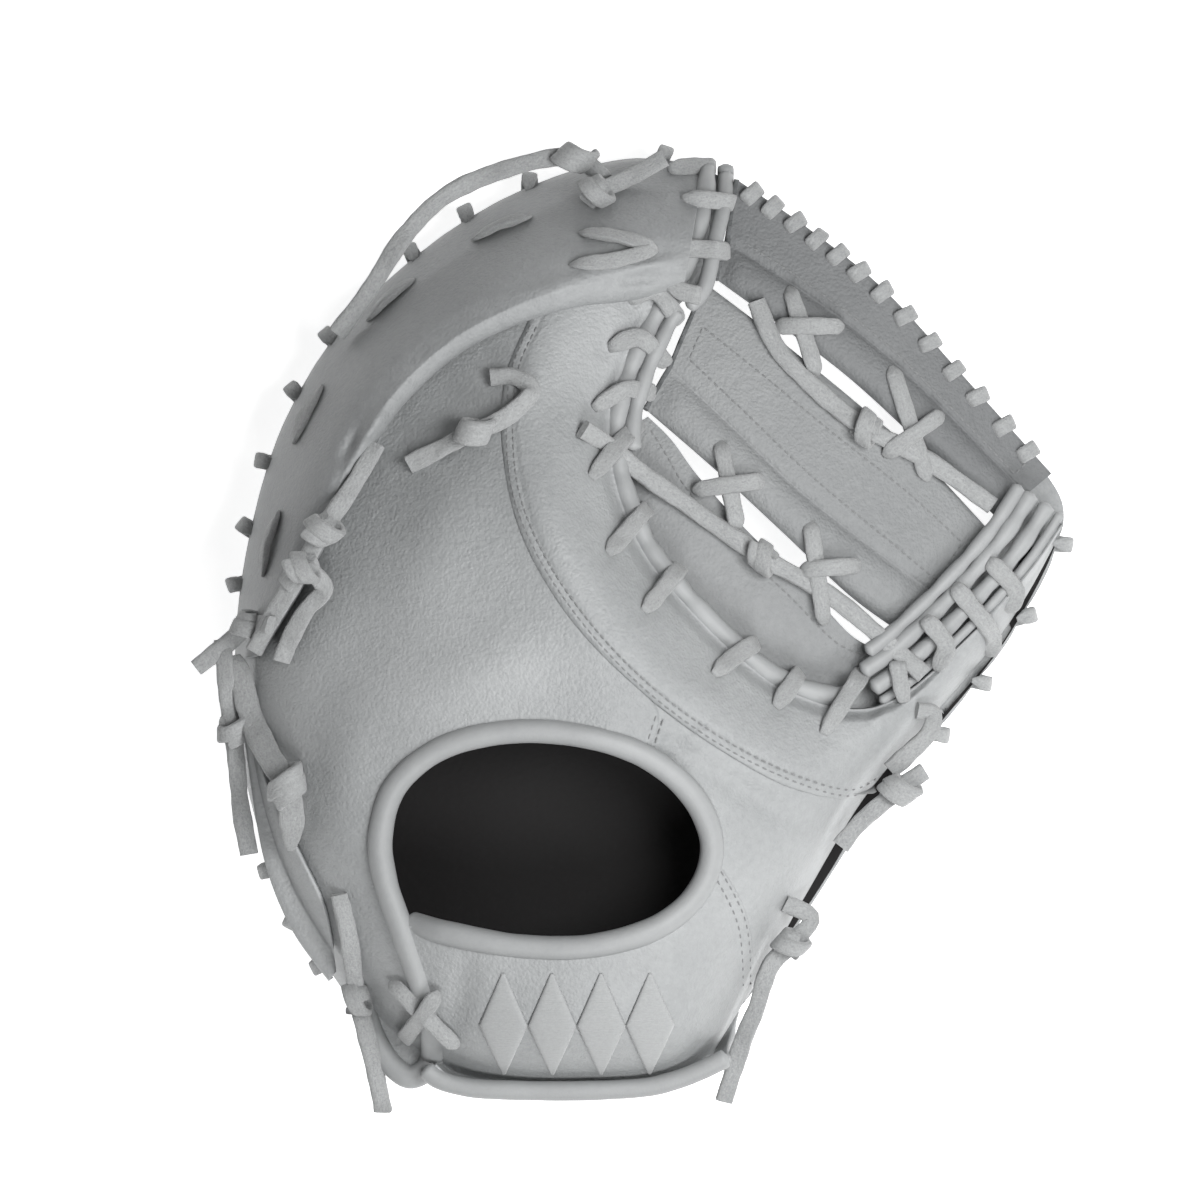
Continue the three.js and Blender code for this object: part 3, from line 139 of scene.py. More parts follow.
# The thumb panel from the crotch to the thumb tip: its outer seam, its row on WEB_EDGE, and how far short
# of that it stops, in roll radii.
THUMB = np.array([
    (0.54, 0.806, 3.5, 1.15), (0.527, 0.776, 4.25, 1.15), (0.505, 0.72, 5.8, 1.15), (0.503, 0.65, 7.0, 1.15),
    (0.522, 0.565, 8.3, 1.15), (0.57, 0.482, 9.6, 1.15), (0.64, 0.41, 10.8, 1.15), (0.72, 0.351, 12.0, 1.15),
    (0.8, 0.31, 13.0, 1.6), (0.874, 0.308, 14.0, 2.5), (0.945, 0.391, 15.2, 2.5), (1.013, 0.474, 16.5, 2.5),
    (1.062, 0.56, 17.7, 2.5),
])

# The hand's back between its rim or the finger band and the opening or the thumb seam, from the heel up.
HAND_RIM_ROWS = np.array([13.0, 12.5, 12.0, 11.5, 11.0, 10.4, 9.9, 9.1, 8.3])
HAND_UNDER_BAND = np.array([
    (0.262, 0.478), (0.29, 0.525), (0.318, 0.578), (0.345, 0.635), (0.38, 0.69), (0.418, 0.73),
    (0.455, 0.758), (0.492, 0.78), (0.53, 0.796),
])
HAND_INSIDE = np.array([
    (0.431, 0.038), (0.431, 0.08), (0.419, 0.125), (0.402, 0.175), (0.387, 0.22), (0.382, 0.265),
    (0.397, 0.315), (0.44, 0.352), (0.5, 0.369), (0.57, 0.368), (0.64, 0.35), (0.658, 0.388), (0.622, 0.428),
    (0.571, 0.482), (0.523, 0.565), (0.504, 0.65), (0.506, 0.72), (0.528, 0.776),
])

# The side panel between the rim and the thumb seam, the opening and the strap's seam.
SIDE_RIM = (17.03, 19.12)
SIDE_AT_OPENING = np.array([
    (0.708, 0.25), (0.704, 0.28), (0.69, 0.311), (0.668, 0.334), (0.646, 0.352), (0.645, 0.415),
])
SIDE_AT_STRAP = np.array([(0.741, 0.148), (0.726, 0.2), (0.708, 0.25)])
SIDE_AT_THUMB = np.array([(0.83, 0.312), (0.79, 0.328), (0.75, 0.35), (0.71, 0.375), (0.645, 0.415)])

# The little finger's flap: its left and its right edge.
FLAP = np.array([
    (0.243, 0.362, 0.25, 0.364), (0.252, 0.3, 0.274, 0.3), (0.266, 0.23, 0.303, 0.24),
    (0.292, 0.168, 0.325, 0.19), (0.328, 0.118, 0.336, 0.128),
])

# The roll round the hand opening, and the strap's borders and lower roll.
OPENING_ROLL = np.array([
    (0.356, 0.112), (0.364, 0.085), (0.376, 0.056), (0.391, 0.034), (0.411, 0.022), (0.431, 0.038),
    (0.431, 0.08), (0.419, 0.125), (0.402, 0.175), (0.387, 0.22), (0.382, 0.265), (0.397, 0.315),
    (0.44, 0.352), (0.5, 0.369), (0.57, 0.368), (0.64, 0.348), (0.69, 0.308), (0.711, 0.258), (0.697, 0.21),
    (0.655, 0.175), (0.59, 0.157), (0.52, 0.157), (0.455, 0.168), (0.409, 0.179),
])
STRAP_TOP = np.array([
    (0.402, 0.178), (0.455, 0.168), (0.52, 0.157), (0.59, 0.157), (0.655, 0.175), (0.697, 0.21),
    (0.711, 0.247),
])
STRAP_RIGHT = np.array([
    (0.727, 0.045), (0.742, 0.086), (0.751, 0.125), (0.751, 0.165), (0.738, 0.205), (0.711, 0.247),
])
STRAP_LEFT = np.array([(0.436, 0.036), (0.431, 0.08), (0.419, 0.125), (0.402, 0.178)])
STRAP_FOOT = np.array([
    (0.436, 0.036), (0.456, 0.02), (0.49, 0.0135), (0.568, 0.011), (0.64, 0.014), (0.676, 0.022),
    (0.704, 0.033), (0.727, 0.045),
])
STRAP_ROLL = np.array([
    (0.424, 0.032), (0.438, 0.021), (0.46, 0.014), (0.49, 0.0105), (0.568, 0.009), (0.64, 0.012),
    (0.676, 0.02), (0.704, 0.031), (0.728, 0.043),
])

# The borders of the lining inside the hand.
LINING_HEEL = np.array([(0.345, 0.15), (0.42, 0.07), (0.55, 0.035), (0.68, 0.055), (0.77, 0.14)])
LINING_TOP = np.array([(0.32, 0.6), (0.48, 0.64), (0.6, 0.55), (0.72, 0.43), (0.79, 0.33)])
LINING_LEFT = np.array([(0.345, 0.15), (0.29, 0.35), (0.32, 0.6)])
LINING_RIGHT = np.array([(0.77, 0.14), (0.8, 0.24), (0.79, 0.33)])

# The web's straps from the fingers to the thumb: outer edge, fold, and inner edge of the soft tube.
OUTER_STRAP = np.array([
    (0.744, 0.92, 0.735, 0.857, 0.722, 0.819), (0.812, 0.873, 0.81, 0.808, 0.784, 0.774),
    (0.887, 0.812, 0.884, 0.752, 0.851, 0.723), (0.97, 0.722, 0.956, 0.684, 0.919, 0.661),
    (1.049, 0.636, 1.025, 0.614, 0.992, 0.591),
])
MIDDLE_STRAP = np.array([
    (0.708, 0.817, 0.672, 0.733, 0.647, 0.69), (0.776, 0.765, 0.738, 0.67, 0.716, 0.63),
    (0.856, 0.7, 0.804, 0.608, 0.785, 0.566), (0.925, 0.641, 0.875, 0.553, 0.85, 0.505),
    (0.989, 0.574, 0.943, 0.503, 0.904, 0.466),
])

# The web's innermost leaf: its edge towards the straps and its edge at the binding.
INNER_PANEL = np.array([
    (0.648, 0.684, 0.634, 0.675), (0.672, 0.66, 0.634, 0.625), (0.7, 0.622, 0.65, 0.565),
    (0.752, 0.565, 0.69, 0.512), (0.805, 0.515, 0.74, 0.463), (0.852, 0.465, 0.79, 0.43),
    (0.884, 0.449, 0.853, 0.417),
])


def spline(rows, t, closed=False):
    """The smooth curve through table rows at row numbers t: between two rows it is the cubic whose slope
    at each row is half the step between that row's neighbours."""
    rows, t = np.asarray(rows, float), np.asarray(t, float)
    n = len(rows)
    i = np.floor(t).astype(int) if closed else np.clip(np.floor(t), 0, n - 2).astype(int)
    f = (t - i)[..., None]
    a, b, c, d = [rows[(i + k) % n if closed else np.clip(i + k, 0, n - 1)] for k in (-1, 0, 1, 2)]
    return b + 0.5 * f * (c - a + f * (2 * a - 5 * b + 4 * c - d + f * (3 * (b - c) + d - a)))


def place(xy):
    """Plan shares as millimetres in the row frame."""
    return (np.asarray(xy, float) - PLAN_MIDDLE) * UNIT + FRAME_SHIFT


def smooth(low, high, x):
    """0 below low, 1 above high, and 3s^2 - 2s^3 between, where s is the share of the way."""
    s = np.clip((x - low) / (high - low), 0, 1)
    return s * s * (3 - 2 * s)


def unit(v):
    return v / np.maximum(np.linalg.norm(v, axis=-1, keepdims=True), 1e-9)


def reach_along(line):
    """The millimetres from a line's start to each of its points."""
    return np.concatenate([[0], np.cumsum(np.linalg.norm(np.diff(line, axis=0), axis=1))])


def on_line(line, s):
    """The points of a line at s millimetres along it."""
    reach = reach_along(line)
    return np.stack([np.interp(s, reach, line[:, k]) for k in range(line.shape[1])], -1)


def resample(line, count):
    """A line again, as count points at equal steps along it."""
    return on_line(line, np.linspace(0, reach_along(line)[-1], count))


def through(rows, count, per_row=24):
    """A smooth line through rows, as count points at equal steps along it."""
    return resample(spline(rows, np.linspace(0, len(rows) - 1, (len(rows) - 1) * per_row + 1)), count)


def waves(s, seed, scale=1.0):
    """A quiet wandering value along s: three sines of unlike length whose phases come from seed."""
    phase = np.array([1.7, 4.1, 2.3]) * seed
    return scale * (0.5 * np.sin(0.9 * s + phase[0]) + 0.3 * np.sin(2.1 * s + phase[1])
                    + 0.2 * np.sin(4.7 * s + phase[2]))


def edge_at(row):
    """The values of the edge's table at these rows, closed round."""
    return spline(EDGE, row, closed=True)


CENTRE = place((0.59, 0.46))
look_row = np.linspace(0, len(EDGE), 5201)
look_way = place(edge_at(look_row)[:, :2]) - CENTRE
look_angle = np.unwrap(np.arctan2(look_way[:, 1], look_way[:, 0]))
look_radius = np.linalg.norm(look_way, axis=1)
web_line = place(spline(WEB_EDGE, np.linspace(0, len(WEB_EDGE) - 1, 181)))
palm_line = place(spline(PALM_EDGE, np.linspace(0, len(PALM_EDGE) - 1, 361)))


def locate(p):
    """The edge row that plan points face, and their share of the way out to it from the hand's centre."""
    way = p[..., :2] - CENTRE
    angle = look_angle[0] + (np.arctan2(way[..., 1], way[..., 0]) - look_angle[0]) % (2 * np.pi)
    row = np.interp(angle, look_angle, look_row)
    return row, np.linalg.norm(way, axis=-1) / np.interp(angle, look_angle, look_radius)


def rim(row, share=1.0):
    """The plan point at a row of the edge and a share of the way out."""
    return CENTRE + (place(edge_at(row)[..., :2]) - CENTRE) * np.asarray(share)[..., None]


def nearest(line, p):
    """For plan points, the distance to a line of points and the millimetres along it to the nearest spot.
    Each segment's nearest spot is the point's shadow on it, kept between the segment's ends."""
    start, way = line[:-1, :2], np.diff(line[:, :2], axis=0)
    length = np.linalg.norm(way, axis=1)
    before = reach_along(line[:, :2])[:-1]
    flat = p[..., :2].reshape(-1, 2)
    out = np.empty((2, len(flat)))
    for part in np.array_split(np.arange(len(flat)), len(flat) // 4000 + 1):
        offset = flat[part, None] - start
        share = np.clip((offset * way).sum(-1) / np.maximum(length**2, 1e-9), 0, 1)
        miss = np.linalg.norm(offset - share[..., None] * way, axis=-1)
        best = miss.argmin(1)
        pick = np.arange(len(part)), best
        out[0, part], out[1, part] = miss[pick], before[best] + share[pick] * length[best]
    return out.reshape((2,) + p.shape[:-1])


def beside(line, p):
    """For plan points, the distance to the left of a line of points, less than 0 on its right, and the
    millimetres along it."""
    distance, along = nearest(line, p)
    start, end = on_line(line[:, :2], along - 0.5), on_line(line[:, :2], along + 0.5)
    way, offset = end - start, p[..., :2] - start
    left = way[..., 0] * offset[..., 1] > way[..., 1] * offset[..., 0]
    return np.where(left, distance, -distance), along


def bowl(row, share):
    """The palm's hollow: from the seam height at the rim up to POCKET under the hand's centre, by
    (1 - share^2)^1.2."""
    edge = edge_at(row)[..., 2] * CROWN
    return edge + (POCKET - edge) * np.maximum(0, 1 - np.minimum(share, 1) ** 2) ** 1.2


def bowl_height(p):
    return bowl(*locate(p))


def back_height(p):
    """The back leather over plan points. The dome rises from the seam by the root of 1 - share^full. Within
    WEB_REACH of the web it closes down, by a quarter sine, to WEB_LIFT over the bowl."""
    row, share = locate(p)
    at = edge_at(row)
    edge = at[..., 2] * CROWN
    top = CROWN + (at[..., 3] * CROWN - CROWN) * smooth(0, 1, share)
    dome = edge + (top - edge) * np.sqrt(np.maximum(0, 1 - np.minimum(share, 1) ** at[..., 4]))
    low = np.minimum(dome, bowl(row, share) + WEB_LIFT)
    reach = np.minimum(nearest(web_line, p)[0] / WEB_REACH, 1)
    return low + (dome - low) * np.sin(reach * np.pi / 2)


def drape(p):
    """The back's height, carried on level past its edge."""
    share = locate(p)[1][..., None]
    return back_height(np.where(share < 0.955, p[..., :2], CENTRE + (p[..., :2] - CENTRE) * 0.955 / share))


def band_lift(rise, reach):
    """The finger band over the back: a puff that grows with the root of the way in from the lip, and dies
    away towards the rim."""
    puff = rise * np.sqrt(np.clip(reach / 0.14, 0, 1))
    return (SHELL_WALL + FIT_GAP + BAND_GAP + puff) * (1 - smooth(0.3, 0.95, reach))


band_cuts = spline(BAND, np.linspace(0, len(BAND) - 1, 61))


def cover_lift(p):
    """How high the finger band stands over the back at plan points, and 0 beside it."""
    lip, way = place(band_cuts[:, :2]), place(band_cuts[:, 2:4]) - place(band_cuts[:, :2])
    offset = p[..., None, :2] - lip
    share = np.clip((offset * way).sum(-1) / (way**2).sum(-1), 0, 1)
    miss = np.linalg.norm(offset - share[..., None] * way, axis=-1)
    best = miss.argmin(-1)[..., None]
    lift = np.take_along_axis(band_lift(band_cuts[:, 4], share), best, -1)[..., 0]
    return np.where(np.take_along_axis(miss, best, -1)[..., 0] < 3, lift, 0)


def over_all(p):
    return drape(p) + cover_lift(p)


def web_base(p):
    return bowl_height(p) + PALM_WALL + FIT_GAP


def web_top(p):
    return web_base(p) + WEB_LEATHER


def binding_height(p):
    return bowl_height(p) + WEB_LIFT - 1


def finger_end_height(p):
    return back_height(p) + 1


def lifted(plan, height):
    """Plan points with their height."""
    return np.concatenate([plan[..., :2], height[..., None]], -1)


def mesh_of(name, points, quads, material, nodes=(), uv=None, caps=(), wall=0.0):
    """A smooth-shaded mesh from points in millimetres and faces, which rides on the mitt in place of CAD
    nodes. uv follows the surface in millimetres. wall is a leather thickness, grown inwards."""
    mesh = bpy.data.meshes.new(name)
    faces = np.asarray(quads).reshape(-1, 4).tolist() + list(caps)
    mesh.from_pydata((points.reshape(-1, 3) * 0.001).tolist(), [], faces)
    mesh.polygons.foreach_set("use_smooth", np.ones(len(mesh.polygons), bool))
    if uv is not None:
        corner = np.empty(len(mesh.loops), int)
        mesh.loops.foreach_get("vertex_index", corner)
        layer = mesh.uv_layers.new(name="surface")
        layer.data.foreach_set("uv", uv.reshape(-1, 2)[corner].astype(np.float32).ravel())
    mesh.update()
    piece = bpy.data.objects.new(name, mesh)
    bpy.context.scene.collection.objects.link(piece)
    piece.data.materials.append(material)
    if wall:
        solid = piece.modifiers.new("leather", "SOLIDIFY")
        solid.thickness, solid.offset = wall * 0.001, -1
    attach(piece, "root")
    if nodes:
        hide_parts(*nodes)
    return piece


def grid_quads(m, n, wrap=False, flip=False):
    """The faces of an m by n grid of points, closed on itself across its n where it wraps."""
    i = np.arange(m - 1)[:, None]
    j = np.arange(n if wrap else n - 1)[None, :]
    j2 = (j + 1) % n
    quads = np.stack([i * n + j, i * n + n + j, i * n + n + j2, i * n + j2], -1).reshape(-1, 4)
    return quads[:, ::-1] if flip else quads


def end_caps(m, n):
    """The two faces that close a tube of m rings of n points."""
    return [list(range(n)), list(range(m * n - 1, (m - 1) * n - 1, -1))]


def frames(path, up):
    """The unit directions sideways from a path, and out of its flat side, which faces up."""
    tangent = unit(np.gradient(path, axis=0))
    side = unit(np.cross(tangent, np.broadcast_to(up, path.shape)))
    return side, np.cross(side, tangent)


def section(width, thickness, count=16, square=4.5):
    """A rounded oblong: the points where |x/a|^square + |y/b|^square = 1."""
    a = np.linspace(0, 2 * np.pi, count, endpoint=False) + np.pi / count
    ring = np.stack([np.cos(a), np.sin(a)], -1)
    return np.sign(ring) * np.abs(ring) ** (2 / square) * [width / 2, thickness / 2]


def strip(path, up, width=LACE[0], thickness=LACE[1], seed=0.0, taper=(0, 0), twist=0.22):
    """A lace: a rounded oblong carried along path with its flat side facing up. Its width and the way it
    faces wander a little along it, and it narrows over the millimetres of taper at its two ends. Returns
    points, faces, end faces and surface places."""
    side, lift = frames(path, up)
    reach = reach_along(path)
    tilt = waves(reach / 7, seed, twist)[:, None]
    side, lift = side * np.cos(tilt) + lift * np.sin(tilt), lift * np.cos(tilt) - side * np.sin(tilt)
    swell = 1 + waves(reach / 5, seed + 3, 0.09)
    for narrow, from_end in zip(taper, (reach, reach[-1] - reach)):
        if narrow:
            swell = swell * (0.3 + 0.7 * np.sin(np.clip(from_end / narrow, 0, 1) * np.pi / 2))
    ring = section(width, thickness)
    m, n = len(path), len(ring)
    points = side[:, None] * ring[:, 0, None] + lift[:, None] * ring[:, 1, None]
    points = path[:, None] + points * swell[:, None, None]
    around = np.linspace(0, 2 * (width + thickness), n)
    uv = np.stack(np.broadcast_arrays(reach[:, None], around[None]), -1)
    return points.reshape(-1, 3), grid_quads(m, n, wrap=True), end_caps(m, n), uv.reshape(-1, 2)


def joined(parts):
    """Several laces as one list of points, faces, end faces and surface places."""
    starts = np.cumsum([0] + [len(p[0]) for p in parts])
    return (
        np.concatenate([p[0] for p in parts]),
        np.concatenate([p[1] + s for p, s in zip(parts, starts)]),
        [[v + s for v in end] for p, s in zip(parts, starts) for end in p[2]],
        np.concatenate([p[3] for p in parts]),
    )


def lace_piece(name, parts, nodes=None, material=None):
    """Laces as one piece with crisp cut ends, in place of the node of that name."""
    points, quads, caps, uv = joined(parts)
    nodes = (name,) if nodes is None else nodes
    piece = mesh_of(name + "_look", points, quads, material or rawhide, nodes, uv, caps)
    piece.data.set_sharp_from_angle(angle=0.95)


def tube(path, radius, seed=0.0, pinch=(), count=22):
    """A leather roll: a circle carried along path, whose radius wanders a little and is drawn in under the
    laces at the given shares of the way. Returns points, faces and end faces."""
    side, lift = frames(path, UP)
    reach = reach_along(path)
    size = radius * (1 + waves(reach / 9, seed, 0.035))
    for share in pinch:
        size = size - 0.16 * radius * np.exp(-(((reach - share * reach[-1]) / 3.2) ** 2))
    to_end = np.clip(np.minimum(reach, reach[-1] - reach) / radius, 0.02, 1)
    size = size * np.sin(np.sqrt(to_end * 2).clip(0, 1) * np.pi / 2)
    a = np.linspace(0, 2 * np.pi, count, endpoint=False)
    ring = side[:, None] * np.cos(a)[:, None] + lift[:, None] * np.sin(a)[:, None]
    points = path[:, None] + ring * size[:, None, None]
    return points.reshape(-1, 3), grid_quads(len(path), count, wrap=True), end_caps(len(path), count)


def capsules(places, along, out, length, width, height):
    """A stitch at each place: an egg-shaped bead, longest along the seam, sunk halfway into the leather.
    Its radius at share s of its length is the root of 1 - s^4."""
    rings, count = np.linspace(-1, 1, 6), 6
    radius = np.sqrt(np.maximum(1 - rings**4, 0.02))
    a = np.linspace(0, 2 * np.pi, count, endpoint=False)
    bead = np.stack(np.broadcast_arrays(
        rings[:, None] * length / 2, radius[:, None] * np.cos(a) * width / 2,
        radius[:, None] * np.sin(a) * height / 2), -1).reshape(-1, 3)
    side = unit(np.cross(out, along))
    points = (places[:, None] + bead[:, 0, None] * along[:, None] + bead[:, 1, None] * side[:, None]
              + bead[:, 2, None] * out[:, None])
    ends = np.array([[0, 1, 2, 3], [0, 3, 4, 5]])
    last = (len(rings) - 1) * count
    quads = np.concatenate([grid_quads(len(rings), count, wrap=True), ends[:, ::-1], ends + last])
    quads = (quads + len(bead) * np.arange(len(places))[:, None, None]).reshape(-1, 4)
    return points.reshape(-1, 3), quads


def surface_normal(height, p, step=0.6):
    """The upward normal of a height over plan points, from its slopes."""
    dx = (height(p + [step, 0]) - height(p - [step, 0])) / (2 * step)
    dy = (height(p + [0, step]) - height(p - [0, step])) / (2 * step)
    return unit(np.stack([-dx, -dy, np.ones_like(dx)], -1))


def stitch_row(line, height, pitch=2.6, length=2.0, width=0.62, thick=0.5, lift=0.04):
    """Beads of thread at equal steps along a plan line, on the leather under it."""
    count = max(int(reach_along(line)[-1] / pitch), 2)
    plan = resample(line, 2 * count + 1)[1::2]
    plan_ahead = plan + unit(np.gradient(plan, axis=0)) * 0.4
    here, ahead = lifted(plan, height(plan)), lifted(plan_ahead, height(plan_ahead))
    out = surface_normal(height, plan)
    return capsules(here + out * lift, unit(ahead - here), out, length, width, thick)


def sideways(line, mm):
    """A plan line moved to its left by this many millimetres."""
    way = unit(np.gradient(line[:, :2], axis=0))
    return line[:, :2] + np.stack([-way[:, 1], way[:, 0]], -1) * np.reshape(mm, (-1, 1))


def taut(plan, ground, clear, dip):
    """A lace pulled tight over the ground under a plan line. Its height is the line that a string takes
    over the ground's bumps, and its ends dip into the leather."""
    plan = resample(plan, 33)
    z = ground(plan) + clear
    z[[0, -1]] -= dip
    hull = [0]
    for k in range(1, len(z)):
        while len(hull) > 1:
            a, b = hull[-2:]
            if (z[b] - z[a]) * (k - a) > (z[k] - z[a]) * (b - a):
                break
            hull.pop()
        hull.append(k)
    z = np.interp(np.arange(len(z)), hull, z[hull])
    for _ in range(3):
        z[1:-1] = (z[:-2] + 2 * z[1:-1] + z[2:]) / 4
    return lifted(plan, z)


def knot(centre, axis, size, seed=0.0, turns=1.75, width=5.0):
    """A lace wound round itself and pulled tight: a spiral round axis whose radius swells in the middle,
    with its flat side outwards."""
    axis = unit(np.asarray(axis, float))
    first = unit(np.cross(axis, [0.1, 0.2, 1.0]))
    second = np.cross(axis, first)
    s = np.linspace(0, 1, 44)
    a = seed * 2.1 + s * turns * 2 * np.pi
    radius = size * (0.29 + 0.06 * np.sin(np.pi * s))
    out = first * np.cos(a)[:, None] + second * np.sin(a)[:, None]
    shift = (s - 0.5) * size * 0.42 + 0.13 * size * np.sin(a + 1.1)
    path = centre + out * radius[:, None] + axis * shift[:, None]
    return strip(path, out, width, 2.5, seed)


# Materials.

def node_group(name, inputs, outputs):
    """An empty shader node group with these sockets, and its input and output nodes."""
    group = bpy.data.node_groups.new(name, "ShaderNodeTree")
    for label, kind, value in inputs:
        socket = group.interface.new_socket(name=label, in_out="INPUT", socket_type=kind)
        if value is not None:
            socket.default_value = value
    for label, kind in outputs:
        group.interface.new_socket(name=label, in_out="OUTPUT", socket_type=kind)
    return group, group.nodes.new("NodeGroupInput"), group.nodes.new("NodeGroupOutput")


def ramp(nodes, stops):
    node = nodes.new("ShaderNodeValToRGB")
    for k, (at, colour) in enumerate(stops):
        element = node.color_ramp.elements[k] if k < 2 else node.color_ramp.elements.new(at)
        element.position = at
        element.color = (*colour, 1)
    return node


def noise(nodes, links, vector, scale, detail=3.0, rough=0.55):
    node = nodes.new("ShaderNodeTexNoise")
    node.inputs["Scale"].default_value = scale
    node.inputs["Detail"].default_value = detail
    node.inputs["Roughness"].default_value = rough
    links.new(vector, node.inputs["Vector"])
    return node


def maths(nodes, links, operation, a, b):
    node = nodes.new("ShaderNodeMath")
    node.operation = operation
    for socket, value in zip(node.inputs, (a, b)):
        if isinstance(value, (int, float)):
            socket.default_value = value
        else:
            links.new(value, socket)
    return node.outputs[0]


def grain_group():
    """Leather's surface: pebbles with fine creases between them, pores, and slow patches of colour. Height
    is for a bump, Tone and Rough are masks round 0.5."""
    group, given, made = node_group(
        "leather_grain",
        [("Pebble", "NodeSocketFloat", 900.0), ("Patch", "NodeSocketFloat", 14.0)],
        [("Height", "NodeSocketFloat"), ("Tone", "NodeSocketFloat"), ("Rough", "NodeSocketFloat")],
    )
    nodes, links = group.nodes, group.links
    place_node = nodes.new("ShaderNodeTexCoord").outputs["Object"]
    bend = noise(nodes, links, place_node, 160, 2.0)
    shifted = nodes.new("ShaderNodeMixRGB")
    shifted.blend_type = "ADD"
    shifted.inputs[0].default_value = 0.0016
    links.new(place_node, shifted.inputs[1])
    links.new(bend.outputs["Color"], shifted.inputs[2])
    pebble = nodes.new("ShaderNodeTexVoronoi")
    pebble.feature = "SMOOTH_F1"
    pebble.inputs["Smoothness"].default_value = 0.35
    links.new(shifted.outputs[0], pebble.inputs["Vector"])
    links.new(given.outputs["Pebble"], pebble.inputs["Scale"])
    pores = noise(nodes, links, place_node, 2600, 2.0, 0.7)
    creases = noise(nodes, links, place_node, 420, 4.0, 0.6)
    patches = nodes.new("ShaderNodeTexNoise")
    patches.inputs["Detail"].default_value = 4.0
    links.new(place_node, patches.inputs["Vector"])
    links.new(given.outputs["Patch"], patches.inputs["Scale"])
    height = maths(nodes, links, "MULTIPLY", pebble.outputs["Distance"], -0.5)
    height = maths(nodes, links, "ADD", height, maths(nodes, links, "MULTIPLY", pores.outputs["Fac"], 0.35))
    height = maths(nodes, links, "ADD", height, maths(nodes, links, "MULTIPLY", creases.outputs["Fac"], 0.7))
    links.new(height, made.inputs["Height"])
    tone = maths(nodes, links, "MULTIPLY", patches.outputs["Fac"], 0.7)
    tone = maths(nodes, links, "ADD", tone, maths(nodes, links, "MULTIPLY", creases.outputs["Fac"], 0.3))
    links.new(tone, made.inputs["Tone"])
    links.new(maths(nodes, links, "ADD", tone, maths(nodes, links, "MULTIPLY", pores.outputs["Fac"], 0.2)),
              made.inputs["Rough"])
    return group


def fibre_group():
    """Rawhide's surface: short fibres along the lace, and a fine fuzz. It reads the lace's own surface
    places, in millimetres."""
    group, given, made = node_group(
        "rawhide_fibre",
        [("Fuzz", "NodeSocketFloat", 1.0)],
        [("Height", "NodeSocketFloat"), ("Tone", "NodeSocketFloat")],
    )
    nodes, links = group.nodes, group.links
    surface = nodes.new("ShaderNodeUVMap")
    surface.uv_map = "surface"
    stretched = nodes.new("ShaderNodeMapping")
    stretched.inputs["Scale"].default_value = (0.35, 1.5, 1)
    links.new(surface.outputs[0], stretched.inputs["Vector"])
    streaks = noise(nodes, links, stretched.outputs[0], 1.6, 5.0, 0.65)
    spots = noise(nodes, links, nodes.new("ShaderNodeTexCoord").outputs["Object"], 1500, 3.0, 0.7)
    fuzz = maths(nodes, links, "MULTIPLY", spots.outputs["Fac"], given.outputs["Fuzz"])
    links.new(maths(nodes, links, "ADD", streaks.outputs["Fac"], fuzz), made.inputs["Height"])
    links.new(maths(nodes, links, "ADD", maths(nodes, links, "MULTIPLY", streaks.outputs["Fac"], 0.5),
                    maths(nodes, links, "MULTIPLY", spots.outputs["Fac"], 0.5)), made.inputs["Tone"])
    return group


def wear_and_shade_group():
    """Edges rubbed lighter, and creases marked for painted shade, from how far the surface bends: Worn is 1
    on sharp edges, and the crease mask for painted shade is 1 in creases."""
    outputs = [("Worn", "NodeSocketFloat"), ("Crease_shade", "NodeSocketFloat")]
    group, _, made = node_group("edge_wear_and_crease_shade", [], outputs)
    nodes, links = group.nodes, group.links
    bend = nodes.new("ShaderNodeNewGeometry").outputs["Pointiness"]
    # Worn picks out rubbed edges; the second mask picks out creases for painted shade.
    for label, low, high in (("Worn", 0.52, 0.6), ("Crease_shade", 0.485, 0.43)):
        spread = nodes.new("ShaderNodeMapRange")
        spread.inputs["From Min"].default_value = low
        spread.inputs["From Max"].default_value = high
        links.new(bend, spread.inputs["Value"])
        links.new(spread.outputs[0], made.inputs[label])
    return group


grain, fibre, wear_and_shade = grain_group(), fibre_group(), wear_and_shade_group()


def new_material(name, roughness, sheen=0.0):
    material = bpy.data.materials.new(name)
    material.use_nodes = True
    shader = material.node_tree.nodes["Principled BSDF"]
    shader.inputs["Roughness"].default_value = roughness
    shader.inputs["Sheen Weight"].default_value = sheen
    shader.inputs["Sheen Roughness"].default_value = 0.5
    return material, material.node_tree.nodes, material.node_tree.links, shader


def group_node(nodes, group, **values):
    node = nodes.new("ShaderNodeGroup")
    node.node_tree = group
    for label, value in values.items():
        node.inputs[label].default_value = value
    return node


def mixed(nodes, links, share, first, second):
    """One colour laid over another by a mask. A colour is a socket or three numbers."""
    node = nodes.new("ShaderNodeMixRGB")
    links.new(share, node.inputs[0])
    for socket, colour in zip(node.inputs[1:], (first, second)):
        if isinstance(colour, tuple):
            socket.default_value = (*colour, 1)
        else:
            links.new(colour, socket)
    return node.outputs[0]


def bumped(nodes, links, shader, height, strength, distance):
    node = nodes.new("ShaderNodeBump")
    node.inputs["Strength"].default_value = strength
    node.inputs["Distance"].default_value = distance
    links.new(height, node.inputs["Height"])
    links.new(node.outputs[0], shader.inputs["Normal"])


def crease_shaded(nodes, links, rub_and_shade, colour, dark, depth):
    """A colour that goes down to a part of its dark tone in creases: painted shade."""
    share = maths(nodes, links, "MULTIPLY", rub_and_shade.outputs["Crease_shade"], 0.6)
    return mixed(nodes, links, share, colour, tuple(depth * c for c in dark))


